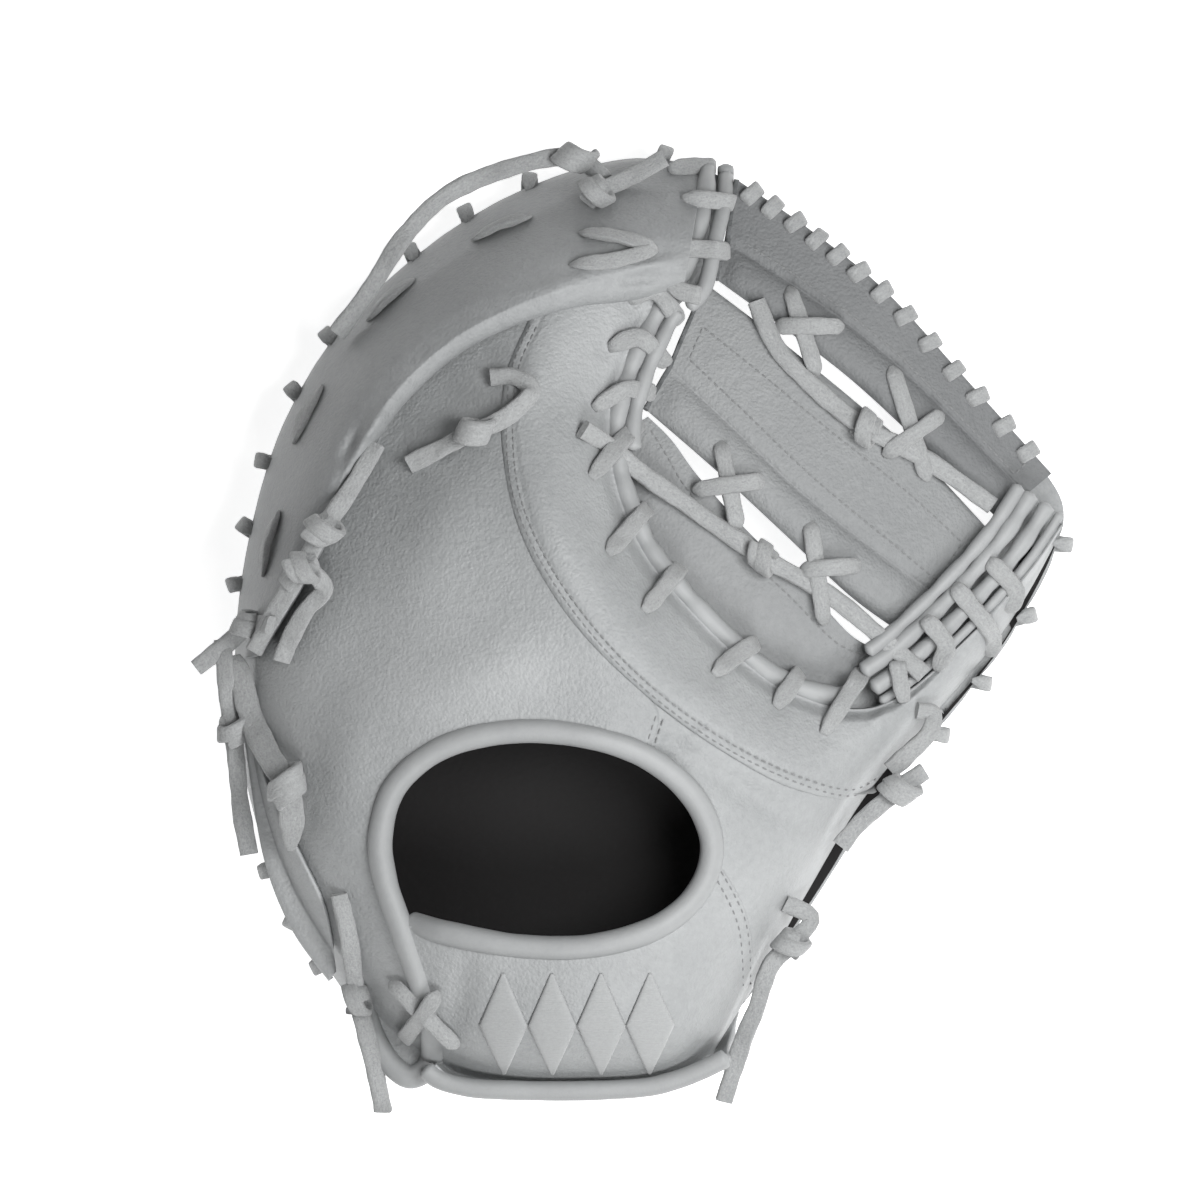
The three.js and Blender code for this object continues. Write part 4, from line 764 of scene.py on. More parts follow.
def leather_material(name, dark, light, roughness, pebble, depth, patch=14.0):
    """Grained leather between two tones, lighter where edges are rubbed, and darker in creases as painted
    shade.
    """
    material, nodes, links, shader = new_material(name, roughness)
    skin = group_node(nodes, grain, Pebble=pebble, Patch=patch)
    tones = ramp(nodes, [(0.32, dark), (0.68, light)])
    links.new(skin.outputs["Tone"], tones.inputs[0])
    rub_and_shade = group_node(nodes, wear_and_shade)
    rubbed = maths(nodes, links, "MULTIPLY", rub_and_shade.outputs["Worn"], 0.5)
    colour = mixed(nodes, links, rubbed, tones.outputs[0], tuple(1.15 * c for c in light))
    links.new(crease_shaded(nodes, links, rub_and_shade, colour, dark, 0.45), shader.inputs["Base Color"])
    gloss = nodes.new("ShaderNodeMapRange")
    gloss.inputs["To Min"].default_value = roughness - 0.08
    gloss.inputs["To Max"].default_value = roughness + 0.1
    links.new(skin.outputs["Rough"], gloss.inputs["Value"])
    links.new(gloss.outputs[0], shader.inputs["Roughness"])
    bumped(nodes, links, shader, skin.outputs["Height"], depth, 0.0004)
    return material


def lace_material(name, dark, light, fuzz, depth):
    """Rawhide or thread: streaks along it between two tones, dull and a little fuzzy, and darker in creases
    as painted shade.
    """
    material, nodes, links, shader = new_material(name, 0.85, 0.25)
    hide = group_node(nodes, fibre, Fuzz=fuzz)
    tones = ramp(nodes, [(0.3, dark), (0.7, light)])
    links.new(hide.outputs["Tone"], tones.inputs[0])
    colour = crease_shaded(nodes, links, group_node(nodes, wear_and_shade), tones.outputs[0], dark, 0.4)
    links.new(colour, shader.inputs["Base Color"])
    bumped(nodes, links, shader, hide.outputs["Height"], depth, 0.00035)
    return material


grey = leather_material("grey_cowhide", (0.255, 0.264, 0.267), (0.365, 0.374, 0.378), 0.48, 900.0, 0.85)
# The finger band's leather: the grey leather made darker, as painted shade for the band that slopes away from
# the light.
band_shaded_grey = leather_material("band_cowhide_painted_shade", (0.21, 0.217, 0.22), (0.305, 0.313, 0.317), 0.54, 900.0, 0.85)
# The web's leather: a darker copy of the grey leather, its lower tone painted shade.
web_shaded_grey = leather_material("web_cowhide_painted_shade", (0.195, 0.202, 0.205), (0.285, 0.292, 0.295), 0.6, 1000.0, 1.0)
roll_grey = leather_material("rolled_cowhide", (0.275, 0.282, 0.285), (0.325, 0.333, 0.336), 0.52, 1200.0,
                             0.2, 30.0)
# The outer web strap's leather: the grey leather made much darker, as painted shade for a strap that faces
# away from the light.
outer_shaded_grey = leather_material("outer_cowhide_painted_shade", (0.13, 0.135, 0.138), (0.19, 0.196, 0.199), 0.62, 1000.0, 1.0)
# The lining is black leather, and its tone is set darker than black leather as painted shade inside the hand
# opening.
black_with_painted_shade = leather_material("black_lining", (0.0028, 0.0024, 0.0026), (0.006, 0.0052, 0.0055), 0.85, 700.0, 0.5)
raw_edge = leather_material("raw_edge", (0.05, 0.055, 0.055), (0.16, 0.165, 0.17), 0.95, 1500.0, 1.0, 220.0)
rawhide = lace_material("rawhide", (0.215, 0.221, 0.223), (0.41, 0.418, 0.42), 1.0, 0.9)
thread = lace_material("grey_thread", (0.29, 0.297, 0.3), (0.38, 0.388, 0.39), 0.4, 0.3)
satin = lace_material("satin_thread", (0.29, 0.298, 0.3), (0.38, 0.388, 0.39), 0.2, 0.35)

# Soft forms in the back: x, y, direction in degrees, half length, half width and height in millimetres.
FORMS = np.array([
    (0.600, 0.520, -48, 26, 9, 1.6), (0.545, 0.600, -62, 20, 7, 1.0), (0.700, 0.405, -38, 22, 6, 0.8),
    (0.430, 0.560, 52, 34, 13, 1.3), (0.370, 0.470, 70, 30, 12, -1.2), (0.480, 0.430, 20, 22, 12, 1.2),
    (0.560, 0.700, 60, 22, 10, -0.9), (0.670, 0.345, 35, 10, 5, -1.6), (0.690, 0.360, 30, 9, 3, 1.0),
    (0.760, 0.300, -32, 24, 5, -1.5), (0.800, 0.250, -60, 16, 8, 1.0), (0.345, 0.330, 80, 30, 9, 1.0),
    (0.350, 0.650, 60, 8, 2.2, -1.3), (0.372, 0.668, 55, 9, 2.4, 1.0), (0.335, 0.625, 62, 9, 2.2, 0.9),
    (0.640, 0.820, 8, 9, 2.0, -1.1), (0.652, 0.835, 14, 8, 1.8, 0.8), (0.560, 0.815, 14, 18, 3, 0.6),
    (0.870, 0.395, 78, 6, 1.6, -0.8), (0.885, 0.400, 74, 6, 1.5, 0.5), (0.900, 0.407, 70, 6, 1.4, -0.5),
    (0.560, 0.070, 2, 45, 8, 0.8), (0.460, 0.100, 80, 14, 5, -0.7), (0.650, 0.740, -20, 9, 3, 0.7),
])
FORM_SCALE = 2.1
# Where laces pull the leather in: x, y.
PULLS = np.array([
    (0.630, 0.797), (0.608, 0.751), (0.594, 0.690), (0.608, 0.545), (0.643, 0.488), (0.712, 0.425),
    (0.775, 0.393), (0.822, 0.363), (0.905, 0.398), (0.669, 0.935), (0.681, 0.901), (0.660, 0.850),
    (0.492, 0.722), (0.445, 0.652),
])


def relief(p):
    """The soft forms and pulls at plan points: each form is its height times exp(-a^2 - b^2), with a and b
    the distances along and across it over its half length and half width."""
    out = np.zeros(p.shape[:-1])
    for x, y, turn, long, wide, height in FORMS:
        way = p[..., :2] - place((x, y))
        c, s = math.cos(math.radians(turn)), math.sin(math.radians(turn))
        a, b = way[..., 0] * c + way[..., 1] * s, way[..., 1] * c - way[..., 0] * s
        out += FORM_SCALE * height * np.exp(-((a / long) ** 2) - (b / wide) ** 2)
    for x, y in PULLS:
        out -= PULL_DEPTH * np.exp(-((p[..., :2] - place((x, y))) ** 2).sum(-1) / PULL_RADIUS**2)
    return out


def skin(p):
    """The back leather with its soft forms, which die away at the laced edge, where it laps down over the
    palm's rim."""
    share = locate(p)[1]
    return back_height(p) + relief(p) * (1 - smooth(0.93, 1.0, share)) - RIM_LAP * smooth(0.99, 1.0, share)


def covered(p):
    return skin(p) + cover_lift(p)


def spread_from(count, both=True):
    """Shares from 0 to 1, closer together near both ends, or near 0 alone."""
    s = np.linspace(0, 1, count)
    return 0.5 - 0.5 * np.cos(np.pi * s) if both else 1 - np.cos(np.pi / 2 * s)


def between(first, last, shares):
    """A plan grid of straight rows from the points of one line to those of another."""
    return first[:, None] + (last - first)[:, None] * np.reshape(shares, (1, -1, 1))


def panel(name, node, plan, height, wall, material=None, lift=0.0):
    """Leather over a grid of plan points, in place of a node. lift is added to the height, grid point by
    grid point."""
    points = lifted(plan, height(plan) + lift)
    m, n = plan.shape[:2]
    centre = points[m // 2, n // 2]
    turn = np.cross(points[m // 2 + 1, n // 2] - centre, points[m // 2, n // 2 + 1] - centre)[2]
    quads = grid_quads(m, n, flip=turn < 0)
    return mesh_of(name, points, quads, material or grey, (node,), wall=wall)


# Laces round the laced edge, by their rows of the edge's table.
RIM_LACES = {
    "finger_rim_lace": (0.85, 2.35, 3.05, 3.72, 4.95, 5.62, 6.4, 7.15, 7.72),
    "heel_rim_lace": (10.8, 11.35, 11.9),
    "thumb_rim_lace": (19.2, 19.8, 20.4, 21.1, 21.8),
}


# The palm: a disc of leather whose rim is a fat roll, cut off along the web.
def pucker(row):
    """How far the rim is drawn in at a row: 1 under each lace."""
    return sum(np.exp(-(((row - s) / 0.13) ** 2)) for stations in RIM_LACES.values() for s in stations)


def flare_at(row, share):
    """How much further out than the back the palm reaches, as a factor that grows to the rim."""
    return 1 + (edge_at(row)[..., 6] - 1) * smooth(0.6, 1, share)


def palm_top(p):
    """The palm's upper height: the bowl and its wall, closing to the seam between 85 and 92 parts of the
    way out."""
    row, share = locate(p)
    share = share / flare_at(row, share)
    seam = edge_at(row)[..., 2] * CROWN - SEAM_GAP / 2
    return seam + (bowl(row, share) + PALM_WALL - seam) * np.clip((0.92 - share) / 0.07, 0, 1)


def two_layers(plan, top, under, kept):
    """A closed mesh from an upper and a lower height over one plan grid that wraps round its second way.
    Only the kept cells are made, and walls join both layers along every border edge."""
    m, n = top.shape
    quads = grid_quads(m, n, wrap=True, flip=True)[kept.ravel()]
    edges = np.concatenate([quads[:, [k, (k + 1) % 4]] for k in range(4)])
    code, back = edges[:, 0] * m * n + edges[:, 1], edges[:, 1] * m * n + edges[:, 0]
    border = edges[~np.isin(code, back) & ((edges >= n).any(1))]
    walls = np.stack([border[:, 1], border[:, 0], border[:, 0] + m * n, border[:, 1] + m * n], -1)
    points = np.concatenate([lifted(plan, top).reshape(-1, 3), lifted(plan, under).reshape(-1, 3)])
    quads = np.concatenate([quads, quads[:, ::-1] + m * n, walls])
    used = np.unique(quads)
    number = np.zeros(len(points), int)
    number[used] = np.arange(len(used))
    return points[used], number[quads]


def palm_look():
    """The palm: palm_top above, and below it the bowl less a bulge that grows from the rim with the root of
    the way in. Points past the web's cut are moved to the cut."""
    rows = np.linspace(0, len(EDGE), 521)[:-1]
    rim_shares = 1 - 0.032 * np.linspace(1, 0, 16) ** 2
    shares = np.concatenate([np.linspace(0, 0.84, 62), np.linspace(0.85, 0.96, 12), rim_shares])
    row, share = np.meshgrid(rows, shares)
    plan = rim(row, share * flare_at(row, share) - 0.006 * pucker(row) * smooth(0.9, 1, share))
    aside, along = beside(palm_line, plan)
    out = aside <= 0
    kept = out[:-1] | out[1:] | np.roll(out, -1, 1)[:-1] | np.roll(out, -1, 1)[1:]
    plan = np.where(out[..., None], plan, on_line(palm_line, along))
    where, far = locate(plan)
    far = np.minimum(far / flare_at(where, far), 1)
    q = np.clip((1 - far) / 0.22, 0, 1)
    puff = np.sqrt(q) * (1 - q)
    bulge = RIM_PAD * edge_at(where)[..., 5] * 2.6 * puff
    under = bowl(where, far) - SEAM_GAP / 2 - PALM_LEDGE - bulge + 1.2 * pucker(where) * puff
    top = palm_top(plan)
    points, quads = two_layers(plan, top, np.minimum(np.maximum(under, 0), top - PALM_LEDGE), kept)
    return mesh_of("palm_look", points, quads, grey, ("palm_shell",))


def close_up(piece, distance):
    """Merges points that fell on one another and turns every face outwards."""
    bm = bmesh.new()
    bm.from_mesh(piece.data)
    bmesh.ops.remove_doubles(bm, verts=bm.verts, dist=distance)
    bmesh.ops.dissolve_degenerate(bm, edges=bm.edges, dist=1e-5)
    bmesh.ops.recalc_face_normals(bm, faces=bm.faces)
    bm.to_mesh(piece.data)
    bm.free()
    piece.data.polygons.foreach_set("use_smooth", np.ones(len(piece.data.polygons), bool))


palm = palm_look()
close_up(palm, 2e-5)

# The panels of the back.
hand_row = np.linspace(0, 17, 260)
on_rim = (hand_row <= len(HAND_RIM_ROWS) - 1)[:, None]
hand_out = spline(np.concatenate([rim(HAND_RIM_ROWS), place(HAND_UNDER_BAND)]), hand_row)
hand_out = np.where(on_rim, rim(np.interp(hand_row, np.arange(len(HAND_RIM_ROWS)), HAND_RIM_ROWS)), hand_out)
hand_plan = between(hand_out, spline(place(HAND_INSIDE), hand_row), spread_from(110, False))
panel("hand_back_look", "hand_back_panel", hand_plan, skin, BACK_WALL)


def at_shares(line, shares):
    """The points of an evenly stepped line at these shares of its length."""
    return np.stack([np.interp(shares, np.linspace(0, 1, len(line)), line[:, k]) for k in (0, 1)], -1)


def coons(foot, top, left, right, m, n):
    """A plan grid between four border lines: foot and top run with u, left and right with v. It is the sum
    of both straight blends less the blend of the four corners."""
    shares = spread_from(n, False)
    foot, top = through(place(foot), m)[:, None], through(place(top), m)[:, None]
    left, right = [at_shares(through(place(side), 200), shares)[None] for side in (left, right)]
    s, t = np.linspace(0, 1, m)[:, None, None], shares[None, :, None]
    corners = ((1 - s) * (1 - t) * foot[0, 0] + s * (1 - t) * foot[-1, 0] + (1 - s) * t * top[0, 0]
               + s * t * top[-1, 0])
    return (1 - t) * foot + t * top + (1 - s) * left + s * right - corners


side_foot = edge_at(np.linspace(*SIDE_RIM, 12))[:, :2]
side_plan = coons(side_foot, SIDE_AT_OPENING, np.vstack([side_foot[:1], SIDE_AT_STRAP]),
                  np.vstack([side_foot[-1:], SIDE_AT_THUMB]), 150, 90)
panel("side_look", "side_panel", side_plan, skin, THUMB_WALL, lift=-OVERLAP)


def strap_height(p):
    return skin(p) + OVERLAP


# The strap lies on the dome, and its foot carries on down to its rolled edge.
strap_plan = coons(STRAP_FOOT, STRAP_TOP, STRAP_LEFT, STRAP_RIGHT, 190, 90)
at_foot = (1 - spread_from(90, False)[None]) ** 40
to_roll = (STRAP_EDGE_HEIGHT + 2 - strap_height(strap_plan)) * at_foot
panel("wrist_strap_look", "wrist_strap", strap_plan, strap_height, BACK_WALL, lift=to_roll)

# The end of the hand's leather under the curl of the opening's roll.
curl = place(spline(OPENING_ROLL, np.linspace(1, 5.4, 60)))
chord = curl[0] + (curl[-1] - curl[0]) * np.linspace(0, 1, 60)[:, None]
chord = chord + np.array([-1.5, 4.0]) * np.sin(np.linspace(0, np.pi, 60))[:, None]
curl_plan = between(curl, chord, np.linspace(0, 1, 14))
panel("flap_end_look", "hand_back_panel", curl_plan, drape, CURL_WALL, lift=-OVERLAP)

# The thumb panel, whose seam edge is folded under and stands proud of the hand's back, and whose other edge
# turns down to the binding's roll.
thumb_t = np.linspace(0, len(THUMB) - 1, 320)
thumb_row = spline(THUMB, thumb_t)
thumb_out = place(thumb_row[:, :2])
web_at, web_ahead, web_behind = [place(spline(WEB_EDGE, thumb_row[:, 2] + step)) for step in (0, 0.05, -0.05)]
web_way = unit(web_ahead - web_behind)
web_left = np.stack([-web_way[:, 1], web_way[:, 0]], -1)
short = thumb_row[:, 3] - 0.55 * (1 - smooth(1.3, 2.2, thumb_row[:, 3]))
thumb_in = web_at - web_left * (short * ROLL_RADIUS)[:, None]
reach = np.concatenate([[0.02, 0.0], spread_from(80)])
thumb_plan = between(thumb_out, thumb_in, reach)
width = np.linalg.norm(thumb_in - thumb_out, axis=1)[:, None] * reach[None]
sewn = (1 - smooth(8.6, 9.4, thumb_t))[:, None]
fold = THUMB_FOLD * np.sqrt(np.clip(width / 1.4, 0, 1)) * sewn
fold[:, 0], fold[:, 1] = -2.2, -0.9
fold = fold - 0.35 * np.exp(-(((width - 4.4) / 1.0) ** 2)) * sewn
turned_in = smooth(-5.0, 0, width - width[:, -1:]) ** 1.5
fold = fold + (binding_height(thumb_plan) + 1.6 - skin(thumb_plan)) * turned_in
panel("thumb_look", "thumb_panel", thumb_plan, skin, THUMB_WALL, lift=fold)

# The finger band: its lip is rolled under and its leather is puffed up behind it.
band_t = np.linspace(0, 1, 300)
band_row = spline(BAND, band_t * (len(BAND) - 1))
reach = np.concatenate([[0.07, 0.045, 0.02, 0.004], spread_from(96)])
band_plan = between(place(band_row[:, :2]), rim(locate(place(band_row[:, 2:4]))[0]), reach)
lift = band_lift(band_row[:, 4][:, None], reach[None])
lift[:, :4] = 0.7, 0.8, 1.3, 2.4
folds = waves(band_t * 44, 2.0, 1.0) * (0.5 + 1.3 * np.exp(-(((band_t - 0.62) / 0.12) ** 2)))
crease = 0.9 * folds[:, None] * np.exp(-(((reach[None] - 0.06) / 0.16) ** 2))
band = panel("finger_band_look", "finger_band", band_plan, skin, BAND_WALL, band_shaded_grey, lift=lift + crease)

# The little finger's flap.
flap_row = spline(FLAP, np.linspace(0, len(FLAP) - 1, 90))
share = np.linspace(0, 1, 26)
flap_plan = between(place(flap_row[:, :2]), place(flap_row[:, 2:]), share)
bow = 1.6 * (1 - (2 * share - 1) ** 4)[None]
panel("little_finger_flap_look", "little_finger_flap", flap_plan, drape, FLAP_WALL, lift=FLAP_LIFT + bow)

# The black lining, in a tone darkened further as painted shade: on the palm inside, and out to its edge at
# the thumb's heel.
lining_plan = coons(LINING_HEEL, LINING_TOP, LINING_LEFT, LINING_RIGHT, 120, 110)
wrinkle = 0.5 * np.sin(lining_plan[..., 0] / 9 + 1.4 * np.sin(lining_plan[..., 1] / 15)) + 0.5
panel("palm_lining_look", "palm_lining", lining_plan, palm_top, LINING_WALL, black_with_painted_shade,
      FIT_GAP + 1.2 + wrinkle * 0.8)
edge_t, edge_share = np.meshgrid(np.linspace(17.5, 21.9, 120), np.linspace(0.93, 1.03, 10), indexing="ij")
edge_plan = rim(edge_t, np.minimum(edge_share, edge_at(edge_t)[..., 6] - 0.008))
panel("lining_edge_look", "palm_lining", edge_plan, palm_top, 0.3, black_with_painted_shade, 0.5)


def px(*points):
    """Plan points that are seen at these places of the picture."""
    return place([(x / 1000, (1100 - y) / 1000) for x, y in points])


def carried_on(rows, t):
    """A table's smooth curve, carried on straight past its first and last rows."""
    last = len(rows) - 1
    inner = np.clip(t, 0, last)
    start, end = spline(rows, np.array([0, 0.2])), spline(rows, np.array([last - 0.2, last]))
    before, after = (start[1] - start[0]) * 5, (end[1] - end[0]) * 5
    return spline(rows, inner) + before * np.minimum(t, 0)[:, None] + after * np.maximum(t - last, 0)[:, None]


# The web's straps: a flat double leather from the outer edge to the fold, and a soft tube beyond it.
def web_strap(name, rows, seed, past, material, count=220):
    """A strap's section at each row, carried along it: flat leather whose outer edge is rounded by the root
    of the way in, then a tube that is a half circle's curve above and below its middle."""
    flat, soft = np.linspace(0, 1, 22), spread_from(26)[1:]
    t = spread_from(count) * (len(rows) - 1 + sum(past)) - past[0]
    at = carried_on(rows, t)
    top, fold, low = place(at[:, 0:2]), place(at[:, 2:4]), place(at[:, 4:6])
    full = smooth(0, 0.4, np.minimum(t + past[0], len(rows) - 1 + past[1] - t))[:, None]
    swell = 1 + waves(np.linspace(0, 9, count), seed, 0.06)[:, None]
    up = WEB_LEATHER + (WEB_TUBE * 0.62 - WEB_LEATHER) * full * swell
    down = -WEB_TUBE * 0.36 * full
    hump = np.sqrt(np.clip(1 - (2 * soft - 1) ** 2, 0, 1))[None]
    middle = (up + down) / 2
    rounded = 0.9 * (1 - np.sqrt(np.clip(flat / 0.05, 0, 1)))[None]
    upper_flat = WEB_LEATHER - rounded - 0.5 * np.exp(-(((flat - 1) / 0.08) ** 2))[None] + 0 * up
    upper_soft = np.maximum(middle + (up - middle) * hump, np.where(soft < 0.5, WEB_LEATHER - 0.6, -99)[None])
    lower_soft = np.minimum(middle + (down - middle) * hump, np.where(soft < 0.5, 0.3, 99)[None])
    lower_flat = 0.2 + rounded + 0 * up
    plan_flat, plan_soft = between(top, fold, flat), between(fold, low, soft)
    plan = np.concatenate([plan_flat, plan_soft, plan_soft[:, ::-1][:, 1:], plan_flat[:, ::-1]], 1)
    z = np.concatenate([upper_flat, upper_soft, lower_soft[:, ::-1][:, 1:], lower_flat[:, ::-1]], 1)
    points = lifted(plan, web_base(plan) + z)
    piece = mesh_of(name + "_look", points, grid_quads(*z.shape, wrap=True), material, (name,),
                    caps=end_caps(*z.shape))
    close_up(piece, 1e-6)


web_strap("web_outer_strap", OUTER_STRAP, 1.0, (0.1, 0.14), outer_shaded_grey)
web_strap("web_middle_strap", MIDDLE_STRAP, 2.0, (0.0, 0.16), web_shaded_grey)

# The straps' raw cut ends towards the fingers.
parts = []
for rows, t in ((OUTER_STRAP, -0.1), (MIDDLE_STRAP, 0.0)):
    end, inner = [place(at.reshape(3, 2)) for at in carried_on(rows, np.array([t, t + 0.2]))]
    line = resample(end + unit(end - inner) * 0.6, 60)
    parts.append(strip(lifted(line, web_base(line) + WEB_LEATHER / 2), UP, 1.8, 4.1, t, twist=0.05))
lace_piece("strap_ends", parts, (), raw_edge)


def leaf_height(p):
    return web_base(p) + SHELL_WALL


leaf = spline(INNER_PANEL, np.linspace(0, len(INNER_PANEL) - 1, 200))
leaf_top, leaf_low = place(leaf[:, :2]), place(leaf[:, 2:])
leaf_low = leaf_low + unit(leaf_low - leaf_top) * 3.2
leaf_plan = between(leaf_top, leaf_low, np.linspace(0, 1, 50))
panel("web_inner_panel_look", "web_inner_panel", leaf_plan, leaf_height, LEAF_WALL, web_shaded_grey)


# Rolled bindings.
def roll(name, plan, height, radius, pinch=(), seed=0.0, node=None):
    """A tube of leather on a plan line at a height, in place of the node of that name."""
    plan = resample(plan, max(int(reach_along(plan)[-1] / 0.8), 40))
    points, quads, caps = tube(lifted(plan, height(plan)), radius, seed, pinch)
    mesh_of(name + "_look", points, quads, roll_grey, (node or name,), caps=caps)


def web_rows(first, last, aside=0.0):
    """A plan line along the web's edge between two of its rows, so far to its left."""
    return sideways(place(spline(WEB_EDGE, np.linspace(first, last, 160))), aside)


def opening_height(p):
    """The opening's roll lies on the leather, and its end tucks under its own start."""
    return drape(p) - 1 - 3.4 * smooth(0.965, 1, np.linspace(0, 1, len(p)))


roll("opening_roll", through(place(OPENING_ROLL), 700), opening_height, OPENING_RADIUS, seed=1.0)
roll("strap_lower_roll", through(place(STRAP_ROLL), 300), lambda p: np.full(len(p), STRAP_EDGE_HEIGHT + 0.8),
     STRAP_ROLL_RADIUS, seed=2.0)
loops_on_roll = np.array([4.6, 5.6, 6.6, 7.4, 8.6, 9.75, 11.2, 12.2, 13.0])
roll("thumb_binding_roll", web_rows(4.3, 13.2), binding_height, ROLL_RADIUS, (loops_on_roll - 4.3) / 8.9, 3.0)
roll("finger_end_roll", web_rows(0.3, 3.6, FINGER_ROLL[0]), finger_end_height, FINGER_ROLL[1],
     (0.2, 0.45, 0.7), 4.0)
beside_welt = FINGER_WELT[0] + 3.0 * smooth(0.45, 1, np.linspace(0, 1, 160))
roll("finger_end_welt", web_rows(0.3, 3.6, beside_welt), finger_end_height, FINGER_WELT[1], (), 5.0)
roll("thumb_binding_inner", web_rows(4.1, 7.4, BINDING_INNER[0]), binding_height, BINDING_INNER[1],
     (0.12, 0.42, 0.72), 10.0, "thumb_binding_roll")
SIX_LOOPS = (0.15, 0.3, 0.45, 0.6, 0.75, 0.9)
for name, first, pinch, seed, node in (
    ("thumb_end_inner", 13.9, (0.2, 0.4, 0.6, 0.8), 9.0, "thumb_end_web_roll"),
    ("thumb_end_roll", 13.6, SIX_LOOPS, 6.0, None),
    ("thumb_end_web_roll", 13.6, SIX_LOOPS, 7.0, None),
    ("thumb_end_welt", 13.6, (), 8.0, None),
):
    aside, radius = THUMB_END_ROLLS[name]
    roll(name, web_rows(first, 17.9, aside), binding_height, radius, pinch, seed, node)

# A lace's turn round the laced edge, from the palm side over the edge to its hole in the back, and one
# round the web's edge: millimetres away from the leather and up.
RIM_TURN = np.array([
    (-7.4, 3.4), (-6.8, -6.6), (-2.0, -7.9), (1.6, -6.6), (3.0, -3.0), (3.2, 1.8), (2.4, 5.6), (0.4, 8.4),
    (-2.4, 9.2),
])
WEB_TURN = np.array([
    (-3.4, -3.0), (0.2, -3.6), (1.3, -0.6), (0.9, 2.4), (-0.9, 3.9), (-3.2, 3.6), (-4.6, 0.8),
])


def leaning(way, lean):
    """A plan direction turned to its left by an angle."""
    c, s = math.cos(lean), math.sin(lean)
    return np.array([way[0] * c - way[1] * s, way[0] * s + way[1] * c])


def turn_of_lace(centre, away, corners, width, thickness, seed, count, narrow):
    """A flat turn of lace through corners round a centre."""
    curve = resample(spline(corners, np.linspace(0, len(corners) - 1, 120)), count)
    path = centre + np.append(away, 0) * curve[:, :1] + UP * curve[:, 1:]
    across = np.array([-away[1], away[0], 0.0])
    up = np.cross(unit(np.gradient(path, axis=0)), across)
    return strip(path, up, width, thickness, seed, (0, narrow))


for name, stations in RIM_LACES.items():
    parts = []
    for k, station in enumerate(stations):
        at = edge_at(np.array([station]))[0]
        centre = np.append(rim(np.array([station]), np.array([at[6]]))[0], at[2] * CROWN)
        away = leaning(unit(rim(np.array([station]))[0] - CENTRE), 0.32 * math.sin(5.1 * station))
        parts.append(turn_of_lace(centre, away, RIM_TURN, *RIM_LACE, k + station, 56, 5))
    lace_piece(name, parts)


# Loops over the bindings of the web's edge: on the leather, over the rolls, on the web.
def binding_ground(height, *rolls):
    """The height of what a loop lies on: leather, web, or the round of a roll."""
    def ground(p):
        aside = beside(web_line, p)[0]
        top = np.where(aside < 0, skin(p) + 1.2, web_top(p))
        for offset, radius in rolls:
            rolled = height(p) + np.sqrt(np.maximum(radius**2 - (aside - offset) ** 2, 0))
            top = np.where(np.abs(aside - offset) < radius, np.maximum(rolled, top), top)
        return top
    return ground


def loops(name, ground, lines):
    """Laces pulled tight over the ground, each through three places of the picture."""
    parts = []
    for k, line in enumerate(lines):
        path = taut(through(px(*line), 60), ground, 1.5, 3.0)
        parts.append(strip(path, UP, *LACE, 1.3 * k + len(name), (7, 5), 0.4))
    lace_piece(name, parts)


loops("thumb_binding_lace", binding_ground(binding_height, BINDING_ROLL), [
    ((628, 302), (655, 291), (680, 322)), ((608, 349), (640, 338), (668, 365)),
    ((593, 410), (625, 390), (655, 393)), ((590, 480), (618, 446), (642, 420)),
    ((607, 555), (630, 528), (648, 507)), ((643, 612), (663, 588), (680, 567)),
    ((712, 675), (736, 655), (757, 642)), ((775, 707), (789, 688), (800, 672)),
    ((822, 735), (845, 700), (865, 670)),
])
loops("thumb_end_lace", binding_ground(binding_height, *THUMB_END_ROLLS.values()), [
    ((905, 702), (901, 682), (898, 662)), ((937, 670), (947, 645), (925, 618)),
    ((990, 655), (995, 635), (955, 585)), ((1012, 612), (1018, 590), (990, 560)),
])
loops("finger_end_lace", binding_ground(finger_end_height, FINGER_ROLL, FINGER_WELT), [
    ((669, 165), (690, 163), (716, 162)), ((681, 199), (706, 198), (734, 200)),
    ((660, 247), (694, 248), (730, 250)), ((667, 280), (682, 291), (700, 296)),
])

# The small wraps along the web's outer edge.
parts = []
for k in range(13):
    t = 0.25 + 3.5 * k / 12
    here, ahead, behind = place(spline(OUTER_STRAP, t + np.array([0, 0.05, -0.05]))[:, :2])
    centre = np.append(here, web_base(here[None])[0] + WEB_LEATHER / 2)
    out = leaning(unit(ahead - behind), math.pi / 2 - 0.25 + 0.1 * math.sin(2.3 * k))
    parts.append(turn_of_lace(centre, out, WEB_TURN, *EDGE_LACE, 0.7 * k, 40, 3))
lace_piece("web_edge_lace", parts)


# Strands of lace over the leather: rows of x, y and the height over it, and knots as row, size, turn.
def strand(rows, base, width=LACE[0], thickness=LACE[1], seed=0.0, per_row=10, taper=(0, 0), twist=0.5):
    """A lace through rows over a base height, and the places of its rows."""
    rows = np.array(rows, float)
    plan = place(rows[:, :2])
    spots = lifted(plan, base(plan) + rows[:, 2])
    path = through(spots, max((len(rows) - 1) * per_row, 12))
    return strip(path, UP, width, thickness, seed, taper, twist), spots


